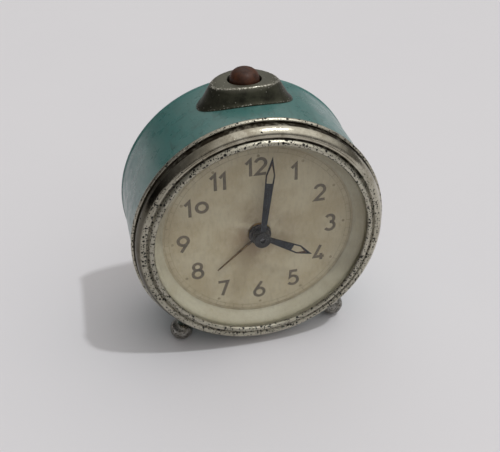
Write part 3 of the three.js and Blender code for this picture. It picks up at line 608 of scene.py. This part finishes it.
def alarm_brass():
    """The alarm hand: brown aged brass, with painted shade making it almost black around the hub, behind the other
    hands' bosses.
    """
    n = Nodes("alarm_brass")
    tone = n.mix(n.clouds(0.5, 5, 0.6), srgb(124, 102, 70), srgb(80, 64, 46))
    # Painted shade: the boss and the needle's root, which sit behind the other hands' bosses, are darkened and
    # made less metallic.
    hub = n.ramp(n.radius(), 4.6, 4.0)
    tone = n.mix(hub, tone, srgb(34, 29, 22))
    rough = n.blend(n.clouds(1.2, 4), 0.35, 0.55)
    return n.output(Base_Color=tone, Metallic=n.blend(hub, 1.0, 0.3), Roughness=rough,
                    Normal=n.bump(n.noise(2.5, 4), 0.15, 0.03))


def clear_glass():
    """The pane, with a film of dust."""
    n = Nodes("clear_glass")
    dust = n.ramp(n.noise(0.5, 6, 0.7), 0.45, 0.8)
    return n.output(Base_Color=(1, 1, 1, 1), Roughness=n.blend(dust, 0.02, 0.1), IOR=1.3,
                    Transmission_Weight=1.0)


def floor_material():
    """Plain pale paper."""
    n = Nodes("pale_floor")
    tone = n.mix(n.noise(0.01, 3), srgb(226, 224, 226), srgb(222, 220, 223))
    return n.output(Base_Color=tone, Roughness=0.6)


TEAL = teal_paint()
BEZEL_PLATE = bezel_nickel()
NICKEL = worn_nickel("worn_nickel", 0.7)
FOOT_NICKEL = worn_nickel("foot_nickel", 1.0, 0.7, srgb(172, 170, 164), srgb(112, 108, 100))
BACK_NICKEL = worn_nickel("back_nickel", 0.35, 0.6)
DARK_NICKEL = dark_nickel()
BAKELITE = bakelite()
DIAL_CREAM = aged_cream("dial_cream", srgb(203, 193, 164), srgb(188, 174, 141), 0.6)
BORDER_CREAM = aged_cream("border_cream", srgb(192, 187, 164), srgb(180, 172, 146), 0.0)
INK = faded_ink("dial_ink", 0.6, 0.75, srgb(96, 88, 74), srgb(126, 114, 94))
TRACK_INK = faded_ink("track_ink", 0.5, 0.7, srgb(134, 122, 98), srgb(180, 167, 136))
BLUED = blued_steel()
BRASS = plain_metal("brass", srgb(214, 186, 120), srgb(170, 138, 80), 0.25, 0.45)
ALARM_BRASS = alarm_brass()
STEEL = plain_metal("steel", srgb(176, 176, 178), srgb(130, 130, 132), 0.25, 0.45)
GLASS = clear_glass()

SLOT_MATERIALS = {
    "teal_paint": TEAL, "worn_nickel": NICKEL, "dark_nickel": DARK_NICKEL, "clear_glass": GLASS,
    "cream_enamel": DIAL_CREAM, "brown_bakelite": BAKELITE, "blued_steel": BLUED, "steel": STEEL,
    "brass": BRASS,
}


def dress_cad_nodes():
    """Gives each CAD node the material of its slot."""
    for part in frame["record"]["subparts"]:
        node = frame["nodes"][part["node"]]
        node.data.materials.clear()
        node.data.materials.append(SLOT_MATERIALS[part["material_slot"]])


# ---- the camera
VIEW_TARGET = Vector((-3.24, 0.0, 3.70))
VIEW_AZIMUTH = math.radians(-12.448)
VIEW_ELEVATION = math.radians(34.487)
VIEW_ROLL = math.radians(-1.191)
VIEW_DISTANCE = 268.01
VIEW_LENS = 1.6571  # focal length over the picture's width
SENSOR = 36


def make_camera():
    """The camera, placed in the clock's own frame and taken to the row frame."""
    a, e = VIEW_AZIMUTH, VIEW_ELEVATION
    back = Vector((math.sin(a) * math.cos(e), -math.cos(a) * math.cos(e), math.sin(e)))
    right = (-back).cross(Vector((0, 0, 1))).normalized()
    up = right.cross(-back)
    rolled_right = right * math.cos(VIEW_ROLL) + up * math.sin(VIEW_ROLL)
    rolled_up = -right * math.sin(VIEW_ROLL) + up * math.cos(VIEW_ROLL)
    turn = TURN.to_3x3() @ Matrix((rolled_right, rolled_up, back)).transposed()
    data = bpy.data.cameras.new("camera")
    data.sensor_width = SENSOR
    data.lens = VIEW_LENS * SENSOR
    data.clip_start = 0.01
    data.clip_end = 20
    camera = add_object("camera", data)
    place = CLOCK @ (VIEW_TARGET + back * VIEW_DISTANCE)
    camera.matrix_world = Matrix.Translation(place) @ turn.to_4x4()
    bpy.context.scene.camera = camera


# ---- the case
def upright(bm, profile, sides):
    """Revolves (radius, z) points about the stop button's axis."""
    turn = Matrix.Translation((0, BUTTON_Y, 0)) @ Matrix.Rotation(math.pi / 2, 4, "X")
    revolve(bm, profile, sides, closed=False, matrix=turn)


def foot_matrix(side):
    """Takes a profile about Y, with the ball's centre at 0 and Y out of the drum's wall, onto a foot."""
    box = extent("foot_left" if side < 0 else "foot_right")
    x = box[0][0] + FOOT_BALL if side < 0 else box[0][1] - FOOT_BALL
    y = sum(box[1]) / 2
    z = box[2][0] + FOOT_BALL
    inward = math.atan2(x, -z)
    turn = Matrix.Rotation(-inward, 4, "Y") @ Matrix.Rotation(-math.pi / 2, 4, "X")
    return Matrix.Translation((x, y, z)) @ turn


def make_drum():
    """The drum's wall, rolled out at the rear rim and in over the cover, with holes for stem and studs."""
    inner = DRUM_RADIUS - DRUM_WALL
    profile = soften([
        (DRUM_RADIUS - 0.25, DRUM_FRONT, 0.2), (DRUM_RADIUS, DRUM_FRONT + 0.5, 0.3),
        (DRUM_RADIUS, RIM_STEP, 0.5), (RIM_RADIUS, RIM_STEP + 0.6, 0.4),
        (RIM_RADIUS, DRUM_REAR - 0.25, 0.3), (DRUM_RADIUS - 0.1, DRUM_REAR, 0.3),
        (inner - 0.25, DRUM_REAR - 0.1, 0.3),
        (inner - 0.2, DRUM_REAR - 0.9, 0.3), (inner, DRUM_REAR - 1.5, 0.3), (inner, DRUM_FRONT, 0.2),
    ])
    bm = bmesh.new()
    revolve(bm, profile, ROUND)
    drum = finish_mesh("drum_shell", bm, "case", TEAL, replaces=["case_drum"])
    stem_hole = bmesh.new()
    upright(stem_hole, [(0, 30), (STEM_HOLE, 30), (STEM_HOLE, 50), (0, 50)], 32)
    cutters = [stem_hole]
    for side in (-1, 1):
        stud = bmesh.new()
        profile = [(0, -12), (STUD_HOLE, -12), (STUD_HOLE, 0), (0, 0)]
        revolve(stud, profile, 24, closed=False, matrix=foot_matrix(side))
        cutters.append(stud)
    cut(drum, cutters)


def make_bezel():
    """The plated ring, from its skirt over the lip, shoulder, groove and bead, and back inside."""
    profile = soften([
        (SKIRT_RADIUS, SKIRT_REAR, 0.1), (SKIRT_RADIUS, 0.6, 0.1), (BEZEL_RADIUS - 0.35, 0.6, 0.3),
        (BEZEL_RADIUS, 0.25, 0.4), (BEZEL_RADIUS, -0.35, 0.4), (BEZEL_RADIUS - 0.4, -0.8, 0.25),
        (41.2, -0.8, 0.15), (40.95, -0.55, 0.15), (40.9, -1.3, 0.3), (41.0, -2.4, 0.8),
        (40.5, -3.8, 1.2), (39.5, -4.85, 0.9), (38.75, -5.1, 0.15), (38.62, -4.98, 0.12),
        (38.45, -5.12, 0.15), (37.9, -5.12, 0.3), (37.6, -4.9, 0.3), (37.4, -4.6, 0.2),
        (37.2, -4.6, 0.2), (37.0, -5.0, 0.3), (36.65, -5.5, 0.4), (36.05, -5.88, 0.5),
        (35.4, -5.65, 0.4), (35.05, -5.05, 0.3), (35.3, -4.5, 0.2), (37.3, -3.95, 0.3),
        (39.3, -3.4, 0.5), (SKIRT_BORE, -1.6, 0.3), (SKIRT_BORE, SKIRT_REAR, 0.1),
    ], steps=5)
    bm = bmesh.new()
    rings = revolve(bm, profile, ROUND)
    for ring in rings:
        for v in ring:
            v.co.y += noise.noise(Vector((v.co.x, v.co.z, 0)) * 0.06) * BEZEL_WOBBLE
    finish_mesh("bezel_ring", bm, "case", BEZEL_PLATE, replaces=["bezel"])


def make_glass():
    """A shallow dome of even thickness."""
    steps = 16
    radii = [GLASS_EDGE * i / steps for i in range(steps + 1)]
    back = [(r, GLASS_REAR - GLASS_RISE * (1 - (r / GLASS_EDGE) ** 2)) for r in radii]
    front = [(r, y - GLASS_THICK) for r, y in reversed(back)]
    bm = bmesh.new()
    revolve(bm, back + front, ROUND // 2, closed=False)
    pane = finish_mesh("glass_dome", bm, "case", GLASS, replaces=["glass"])
    pane.visible_shadow = False


def make_dial():
    """The flat dial with its centre hole, and the sloped border around it."""
    steps = 12
    radii = [DIAL_HOLE + (DIAL_RADIUS - DIAL_HOLE) * i / steps for i in range(steps + 1)]
    front = [(r, DIAL_Y) for r in radii]
    back = [(r, DIAL_Y + DIAL_THICK) for r in reversed(radii)]
    bm = bmesh.new()
    revolve(bm, front + back, ROUND)
    finish_mesh("dial_face", bm, "case", DIAL_CREAM, replaces=["dial"])
    bm = bmesh.new()
    slope = [(31.9, 0.75, 0.1), (32.6, 0.35, 0.8), (34.7, -2.2, 0.8), (35.4, -2.7, 0.3), (37.4, -2.7, 0.1),
             (37.4, -2.2, 0.1), (35.6, -2.2, 0.3), (33.0, 0.75, 0.1)]
    revolve(bm, soften(slope), ROUND)
    finish_mesh("dial_border", bm, "case", BORDER_CREAM, replaces=["dial_ring"])


# ---- dial print
DIGIT_HEIGHT = 6.3
DIGIT_STROKE = 1.06
DIGIT_SPACE = 0.17  # between two figures, as a share of their height
DIGIT_MIDDLE = 0.48
INK_FRONT = DIAL_Y - 0.03
INK_REAR = DIAL_Y - 0.005
NUMERAL_RADIUS = 24.3
NUMERAL_SHIFT = {  # uneven printing
    2: (-0.8, 0.0), 3: (-0.1, 0.05), 6: (-0.25, 0.9), 8: (0.0, 0.4), 9: (-0.8, -0.4), 10: (1.15, 0.55),
    11: (-0.75, 0.15), 12: (-0.75, 0.5),
}
USUAL_SHIFT = (-0.45, 0.3)
TRACK_RINGS = ((31.3, 0.14), (29.8, 0.10))  # radius and width
TICK_WIDTH = 0.12
DOT_RADIUS = 28.75  # the dots beside the hours are this far from the dial's centre
DOT_RING, DOT_WIDTH = 0.26, 0.5

# Strokes of each figure in a box one unit high: (width, [stroke, ...])
BOWL = 0.265
FIGURES = {
    "0": (0.78, [arc(0.39, 0.49, 0.275, 90, 450, 40)]),
    "1": (0.30, [[(0.0, 0.70), (0.235, 0.93), (0.235, 0.0)]]),
    "2": (0.56, [arc(0.28, 0.68, 0.26, 165, -35, 18) + [(0.05, 0.07), (0.56, 0.07)]]),
    "3": (0.54, [arc(0.25, 0.70, 0.225, 150, -90, 18), arc(0.25, 0.255, 0.255, 90, -150, 20)]),
    "4": (0.60, [[(0.40, 0.97), (0.06, 0.22), (0.60, 0.22)], [(0.44, 0.42), (0.44, 0.0)]]),
    "5": (0.54, [[(0.50, 0.92), (0.13, 0.92), (0.09, 0.52)] + arc(0.25, 0.30, 0.28, 118, -145, 20)]),
    "6": (0.56, [[(0.42, 0.97), (0.055, 0.40)], arc(0.28, BOWL, BOWL, 0, 360, 30)]),
    "7": (0.56, [[(0.0, 0.92), (0.52, 0.92), (0.20, 0.0)]]),
    "8": (0.56, [arc(0.28, 0.72, 0.215, 0, 360, 28), arc(0.28, 0.26, 0.26, 0, 360, 30)]),
    "9": (0.56, [[(0.14, 0.0), (0.505, 0.57)], arc(0.28, 0.96 - BOWL, BOWL, 0, 360, 30)]),
}


def ink_stroke(bm, points, width):
    """A thin closed strip of ink along (x, z) points."""
    ring = math.dist(points[0], points[-1]) < 1e-6
    points = points[:-1] if ring else points
    count = len(points)
    rows = []
    for i, (x, z) in enumerate(points):
        before = points[i - 1] if ring or i > 0 else points[i]
        after = points[(i + 1) % count] if ring or i < count - 1 else points[i]
        a = Vector((x - before[0], z - before[1]))
        b = Vector((after[0] - x, after[1] - z))
        a = a.normalized() if a.length else b.normalized()
        b = b.normalized() if b.length else a
        across = Vector((-(a + b).y, (a + b).x)).normalized()
        reach = width / 2 / max(0.45, across.dot(Vector((-b.y, b.x))))
        pair = [(x + across.x * reach * s, z + across.y * reach * s) for s in (1, -1)]
        rows.append([bm.verts.new((px, y, pz)) for y in (INK_FRONT, INK_REAR) for px, pz in pair])
    spans = list(zip(rows, rows[1:])) + ([(rows[-1], rows[0])] if ring else [])
    for (a, b, c, d), (e, f, g, h) in spans:
        for face in ((a, e, f, b), (d, h, g, c), (c, g, e, a), (b, f, h, d)):
            bm.faces.new(face)
    if not ring:
        for a, b, c, d in (rows[0], rows[-1]):
            bm.faces.new((a, b, d, c))


def print_numeral(bm, hour):
    """One hour's figures, centred on its place on the dial."""
    text = str(hour)
    size = DIGIT_HEIGHT
    widths = [FIGURES[c][0] * size for c in text]
    space = DIGIT_SPACE * size
    total = sum(widths) + space * (len(text) - 1)
    a = math.radians(hour * 30)
    right, up = NUMERAL_SHIFT.get(hour, USUAL_SHIFT)
    left = NUMERAL_RADIUS * math.sin(a) + right - total / 2
    base = NUMERAL_RADIUS * math.cos(a) + up - DIGIT_MIDDLE * size
    for c, width in zip(text, widths):
        for stroke in FIGURES[c][1]:
            ink_stroke(bm, [(left + x * size, base + z * size) for x, z in stroke], DIGIT_STROKE)
        left += width + space


def print_dial():
    """The hours, and the minute track with a dot at every fifth minute."""
    bm = bmesh.new()
    for hour in range(1, 13):
        print_numeral(bm, hour)
    finish_mesh("dial_numerals", bm, "case", INK, sharp_angle=20)
    bm = bmesh.new()
    for radius, width in TRACK_RINGS:
        ink_stroke(bm, arc(*CENTRE, radius, 0, 360, 180), width)
    tick_radii = (TRACK_RINGS[1][0] + 0.05, TRACK_RINGS[0][0] - 0.05)
    for minute in range(60):
        a = math.radians(6 * minute)
        ends = [(r * math.sin(a), r * math.cos(a)) for r in tick_radii]
        ink_stroke(bm, ends, TICK_WIDTH)
        if minute % 5 == 0:
            dot = (DOT_RADIUS * math.sin(a), DOT_RADIUS * math.cos(a))
            ink_stroke(bm, arc(*dot, DOT_RING, 0, 360, 16), DOT_WIDTH)
    finish_mesh("dial_track", bm, "case", TRACK_INK, sharp_angle=20)


# ---- hands
# Clockwise from 12, in degrees
MINUTE_ANGLE = 6.8
HOUR_ANGLE = 119.6
ALARM_ANGLE = 229.7
BLADE = 0.3  # thickness of the hands' sheet
# Distances from the axis: the tip, the window's near end, the widest place. Then half widths and the rim.
MINUTE_SHAPE = {"length": 30.4, "start": 20.9, "widest": 23.8, "root": 0.8, "wide": 1.5, "rim": 0.42}
HOUR_SHAPE = {"length": 19.9, "start": 12.2, "widest": 14.6, "root": 0.85, "wide": 1.65, "rim": 0.42}
ALARM_NEEDLE = ((0.42, 2.0), (0.2, 17.5), (0.12, 19.0))  # half width and distance from the axis


def mirrored(half):
    """A symmetric outline at 12 o'clock from the points of its left half, given as (half width, z)."""
    return [(-x, z) for x, z in half] + [(x, z) for x, z in reversed(half) if x > 0]


def spade_outline(length, start, widest, root, wide, rim):
    """Outline and window of a pierced hand at 12 o'clock, point for point."""
    shoulder = root + (wide - root) * (start / widest) ** 1.3
    outline = mirrored([(root, 1.5), (shoulder, start), (wide, widest), (wide * 0.5, (widest + length) / 2),
                        (0, length)])
    inner = wide - rim
    base = shoulder - rim
    top = length - 3.0
    window = mirrored([(base * 0.35, start), (base, start), (inner, widest),
                       (inner * 0.52, (widest + top) / 2), (0, top)])
    return outline, window


def make_hand(node, body, degrees, shape, front, boss):
    """A pierced blade on a boss. The boss is its radius, its bore, and its front and rear depth."""
    outline, window = spade_outline(**shape)
    bm = bmesh.new()
    frame_prism(bm, turned_points(outline, degrees), turned_points(window, degrees), front, front + BLADE)
    radius, bore, near, far = boss
    collar = [(bore, near + 0.05), (bore, near), (radius, near, 0.35), (radius, far, 0.15), (bore, far)]
    revolve(bm, soften(collar), 48)
    finish_mesh(f"{node}_fine", bm, body, BLUED, replaces=[node])


def make_hands():
    """The two pierced hands and the alarm's needle."""
    make_hand("minute_hand", "minute", MINUTE_ANGLE, MINUTE_SHAPE, -3.25, (2.85, 0.9, -3.95, -2.35))
    make_hand("hour_hand", "hour", HOUR_ANGLE, HOUR_SHAPE, -1.75, (2.95, 2.2, -2.25, -0.75))
    bm = bmesh.new()
    prism(bm, turned_points(mirrored(ALARM_NEEDLE), ALARM_ANGLE), 0.0, BLADE)
    revolve(bm, soften([(2.75, -0.6), (3.7, -0.6, 0.3), (3.7, 0.6, 0.15), (2.75, 0.6)]), 48)
    finish_mesh("alarm_hand_fine", bm, "alarm_indicator", ALARM_BRASS,
                replaces=["alarm_hand"])


# ---- stop button
# The housing's flank: share of the way in from the base oval, share of the way up, wear of the edge
FLANK = (
    (-0.02, 0.0, 0), (-0.02, 0.05, 0.4), (0.04, 0.09, 0.6), (0.12, 0.12, 0), (0.30, 0.26, 0),
    (0.50, 0.47, 0), (0.66, 0.67, 0), (0.79, 0.83, 0.1), (0.90, 0.935, 0.5), (0.98, 0.985, 1),
    (1.06, 1.0, 0.8),
)
# Its plateau: share of the way out from the hole, wear of the edge
PLATEAU = ((0.7, 0), (0.35, 0), (0.12, 0.1), (0.03, 0.35))
PLATEAU_SCALE = 0.965


def oval(half_x, half_y):
    """Points of an ellipse about the button's axis."""
    angles = [2 * math.pi * i / HOUSING_SIDES for i in range(HOUSING_SIDES)]
    return [Vector((half_x * math.cos(a), half_y * math.sin(a))) for a in angles]


def flank_oval(share, inset):
    """The housing's oval at a share of the way in from its base."""
    halves = [base + (top - base) * share - inset for base, top in zip(HOUSING_BASE, HOUSING_TOP)]
    return oval(*halves)


def plateau_oval(share, inset):
    """An oval on the plateau, at a share of the way out from the button's hole."""
    outer = oval(*[(half - inset) * PLATEAU_SCALE for half in HOUSING_TOP])
    inner = oval(BUTTON_HOLE, BUTTON_HOLE)
    return [a.lerp(b, share) for a, b in zip(inner, outer)]


def join_rings(bm, rings):
    """Faces between each ring of vertices and the next."""
    for a, b in zip(rings, rings[1:]):
        for i in range(len(a)):
            j = (i + 1) % len(a)
            bm.faces.new((a[i], a[j], b[j], b[i]))


def make_housing():
    """Rings from the foot of the housing over its edge and plateau into the hole, then back inside."""
    bm = bmesh.new()
    layer = bm.verts.layers.float.new("edge")
    rings = []

    def ring(points, lift, edge):
        """A ring on a cylinder about the dial's axis whose radius is lift."""
        row = []
        for x, y in points:
            vert = bm.verts.new((x, BUTTON_Y + y, math.sqrt(max(lift, abs(x) + 1) ** 2 - x * x)))
            vert[layer] = edge
            row.append(vert)
        rings.append(row)

    low = DRUM_RADIUS + 0.02
    high = HOUSING_TOP_RADIUS
    under = high - 0.9
    for share, rise, edge in FLANK:
        ring(flank_oval(share, 0), low + (high - low) * rise, edge)
    for share, edge in PLATEAU:
        ring(plateau_oval(share, 0), high + 0.02, edge)
    ring(plateau_oval(-0.02, 0), high - 0.25, 0.2)
    ring(plateau_oval(-0.02, 0), under, 0)
    ring(plateau_oval(0.2, 0.8), under, 0)
    for share, rise, _ in reversed(FLANK[1:9]):
        ring(flank_oval(share, HOUSING_WALL), low + (under - low) * rise, 0)
    join_rings(bm, rings + rings[:1])
    finish_mesh("housing_shell", bm, "case", DARK_NICKEL, replaces=["button_housing"],
                sharp_angle=50)


def make_button():
    """The domed cap, hollow over the stem."""
    top = BUTTON_TOP
    bm = bmesh.new()
    dome = [(0, top), (1.2, top - 0.06), (2.2, top - 0.26), (3.1, top - 0.68), (3.8, top - 1.25),
            (4.35, top - 2.0), (4.68, top - 2.9), (4.78, top - 3.9), (4.78, top - 4.9), (4.5, top - 5.1),
            (1.6, top - 5.1), (1.6, top - 2.6), (0, top - 2.6)]
    upright(bm, dome, 96)
    finish_mesh("button_cap", bm, "button", BAKELITE, replaces=["alarm_button"],
                sharp_angle=50)


def make_button_spring():
    """The coil spring under the button, on a mesh of its own."""
    box = extent("button_spring")
    margin = SPRING_WIRE + 0.03
    per_turn, sides = 24, 10
    steps = SPRING_TURNS * per_turn
    radius = box[0][1] - margin
    low = box[2][0] + margin
    high = box[2][1] - margin
    up = Vector((0, 0, 1))
    bm = bmesh.new()
    rings = []
    for i in range(steps + 1):
        a = 2 * math.pi * i / per_turn
        outward = Vector((math.cos(a), math.sin(a), 0))
        centre = Vector((0, BUTTON_Y, low + (high - low) * i / steps)) + outward * radius
        ring = []
        for k in range(sides):
            t = 2 * math.pi * k / sides
            ring.append(bm.verts.new(centre + (outward * math.cos(t) + up * math.sin(t)) * SPRING_WIRE))
        rings.append(ring)
    join_rings(bm, rings)
    bm.faces.new(rings[0])
    bm.faces.new(rings[-1])
    spring = finish_mesh("button_spring_fine", bm, "case", STEEL, replaces=["button_spring"])
    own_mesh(spring)


# ---- feet
def make_foot(side):
    """A ball, flat where it stands, on a neck with a washer and a threaded stud."""
    angles = [math.radians(a) for a in range(0, 150, 6)]
    ball = [(FOOT_BALL * math.sin(a), FOOT_BALL * math.cos(a)) for a in angles]
    neck = soften([ball[-1], (1.9, -3.9, 0.4), (2.0, -4.4, 0.3), (3.0, -4.75, 0.3), (3.0, -6.1, 0.2),
                   (1.3, -6.1, 0.1), (1.3, -11.0, 0.2), (0, -11.0)], closed=False)
    bm = bmesh.new()
    revolve(bm, ball + neck[1:], 72, closed=False, matrix=foot_matrix(side))
    bm.transform(CLOCK)
    for v in bm.verts:
        v.co.z = max(v.co.z, 0.0)
    bm.transform(CLOCK.inverted())
    node = "foot_left" if side < 0 else "foot_right"
    finish_mesh(f"{node}_fine", bm, "case", FOOT_NICKEL, replaces=[node])


# ---- back
def make_cover():
    """The dished back plate, with holes for the arbors and a curved slot for the regulator."""
    near = COVER_FRONT
    far = near + COVER_THICK
    step = 0.8
    profile = soften([
        (0, near), (36, near, 0.6), (37.2, near + step, 0.6), (COVER_RADIUS, near + step, 0.1),
        (COVER_RADIUS, far + step, 0.2), (36.8, far + step, 0.6), (35.6, far, 0.6), (0, far),
    ], closed=False)
    bm = bmesh.new()
    revolve(bm, profile, ROUND, closed=False)
    cover = finish_mesh("cover_plate", bm, "case", BACK_NICKEL, replaces=["back_cover"])
    front = near - CUT_MARGIN
    rear = far + CUT_MARGIN
    cutters = []
    for place, radius in COVER_HOLES:
        bm = bmesh.new()
        revolve(bm, [(0, front), (radius, front), (radius, rear), (0, rear)], 32, place, closed=False)
        cutters.append(bm)
    bm = bmesh.new()
    centre = place_of("regulator_shift")
    inner, outer, first, last = REGULATOR_SLOT
    slot = arc(*centre, outer, first, last, 20) + arc(*centre, inner, last, first, 20)
    prism(bm, slot, front, rear)
    cutters.append(bm)
    cut(cover, cutters)


def make_screw(number):
    """One slotted screw of the back cover. Each is turned a little further than the last."""
    node = f"cover_screw_{number}"
    box = extent(node)
    place = (sum(box[0]) / 2, sum(box[2]) / 2)
    profile = soften([
        (0, 26), (1.0, 26, 0.2), (1.0, 30.4, 0.05), (2.1, 30.4, 0.1), (2.1, SCREW_FACE, 0.3),
        (0, SCREW_FACE + 0.4),
    ], closed=False)
    bm = bmesh.new()
    revolve(bm, profile, 32, place, closed=False)
    screw = finish_mesh(f"{node}_fine", bm, "case", STEEL, replaces=[node])
    turn = math.radians(20 + 50 * number)
    dx, dz = math.cos(turn), math.sin(turn)
    length, width = 3, 0.25
    corners = []
    for a, b in ((-length, -width), (length, -width), (length, width), (-length, width)):
        corners.append((place[0] + dx * a - dz * b, place[1] + dz * a + dx * b))
    bm = bmesh.new()
    prism(bm, corners, SCREW_FACE - 0.05, SCREW_FACE + 1)
    cut(screw, [bm])


def make_key(node, body, place, turn):
    """A butterfly key with two pressed wings, turned in radians about its arbor."""
    half = 0.6
    wing = [(2.0, 34.2), (4.6, 34.4), (7.4, 35.3), (8.9, 37.1), (9.0, 39.2), (7.9, 41.3), (5.9, 42.3),
            (3.4, 42.1), (1.3, 40.9)]
    outline = wing + [(0, 40.2)] + [(-x, y) for x, y in reversed(wing)]
    bm = bmesh.new()
    faces = slab(bm, [(x, y, -half) for x, y in outline], [(x, y, half) for x, y in outline])
    rims = [e for f in faces for e in f.edges]
    bmesh.ops.bevel(bm, geom=rims, offset=0.3, segments=3, affect="EDGES", profile=0.5)
    spin = Matrix.Translation((place[0], 0, place[1])) @ Matrix.Rotation(turn, 4, "Y")
    bmesh.ops.transform(bm, matrix=spin, verts=bm.verts)
    hub = soften([(1.8, 31.6, 0.1), (2.8, 31.6, 0.25), (2.8, 34.0, 0.4), (2.3, 36.6, 0.5), (1.2, 37.6, 0.3),
                  (0, 37.7)], closed=False)
    revolve(bm, [(0, 35.4), (1.8, 35.4), *hub], 40, place, closed=False)
    finish_mesh(f"{node}_fine", bm, body, NICKEL, replaces=[node])


def make_knob(node, body, place, radius):
    """A round knob with a milled edge."""
    profile = soften([
        (0, 35.3), (1.1, 35.3), (1.1, 31.6), (2.0, 31.6, 0.15), (2.0, 33.2, 0.3), (radius - 0.4, 33.4, 0.2),
        (radius, 33.8, 0.2), (radius, 36.6, 0.2), (radius - 0.4, 37.0, 0.2), (radius - 1.2, 36.8, 0.2),
        (0, 36.7),
    ], closed=False)
    depth = 0.3
    per_groove = 6
    bm = bmesh.new()
    rings = revolve(bm, profile, 24 * per_groove, place, closed=False)
    for ring in rings:
        for i, v in enumerate(ring):
            x, z = v.co.x - place[0], v.co.z - place[1]
            r = math.hypot(x, z)
            if r > radius - depth:
                groove = depth * (0.5 - 0.5 * math.cos(2 * math.pi * i / per_groove))
                v.co.x = place[0] + x * (r - groove) / r
                v.co.z = place[1] + z * (r - groove) / r
    finish_mesh(f"{node}_fine", bm, body, NICKEL, replaces=[node], sharp_angle=30)


# ---- floor and lighting
def make_floor():
    """A plain pale floor, a hair under the feet."""
    corners = [(x, y, 0) for x, y in ((-1, -1), (1, -1), (1, 1), (-1, 1))]
    bm = bmesh.new()
    bm.faces.new([bm.verts.new(Vector(p) * FLOOR_REACH) for p in corners])
    floor = add_object("floor", bm)
    floor.location.z = -FLOOR_GAP
    floor.data.materials.append(floor_material())


def make_sun():
    """The window light: almost parallel, from high on the right and a little in front."""
    azimuth, elevation = SUN_PLACE
    across = math.cos(elevation)
    towards = Vector((math.sin(azimuth) * across, math.cos(azimuth) * across, math.sin(elevation)))
    data = bpy.data.lights.new("window_light", "SUN")
    data.energy = SUN_ENERGY
    data.angle = SUN_WIDTH
    data.color = SUN_COLOUR
    lamp = add_object("window_light", data)
    lamp.rotation_euler = towards.to_track_quat("Z", "Y").to_euler()


def make_room():
    """The room around the clock: a pale ceiling, darker walls, and the darkest side on the left."""
    world = bpy.data.worlds.new("room")
    world.use_nodes = True
    tree = world.node_tree
    background = tree.nodes["Background"]
    where = tree.nodes.new("ShaderNodeTexCoord")
    split = tree.nodes.new("ShaderNodeSeparateXYZ")
    tree.links.new(where.outputs["Generated"], split.inputs[0])
    both = tree.nodes.new("ShaderNodeMath")
    both.operation = "MULTIPLY"
    tree.links.new(smooth_step(tree, split.outputs[2], *ROOM_HEIGHT), both.inputs[0])
    tree.links.new(smooth_step(tree, split.outputs[0], *ROOM_SIDE), both.inputs[1])
    background.inputs["Color"].default_value = srgb(255, 253, 251)
    tree.links.new(both.outputs[0], background.inputs["Strength"])
    bpy.context.scene.world = world


def light_scene():
    """The window, the room, and colours shown as they are."""
    make_sun()
    make_room()
    bpy.context.scene.view_settings.view_transform = "Standard"
    bpy.context.scene.view_settings.look = "None"


# ---- all together
dress_cad_nodes()
make_camera()
make_drum()
make_bezel()
make_glass()
make_dial()
print_dial()
make_hands()
make_housing()
make_button()
make_button_spring()
for foot_side in (-1, 1):
    make_foot(foot_side)
make_cover()
for screw_number in (1, 2, 3):
    make_screw(screw_number)
make_key("time_key", "time_winding", place_of("time_winding_turn"), -0.35)
make_key("alarm_key", "alarm_winding", place_of("alarm_winding_turn"), 0.5)
make_knob("hand_set_knob", "minute", CENTRE, 4.5)
make_knob("alarm_set_knob", "alarm_setting", place_of("alarm_set_turn"), 3.8)
make_floor()
light_scene()
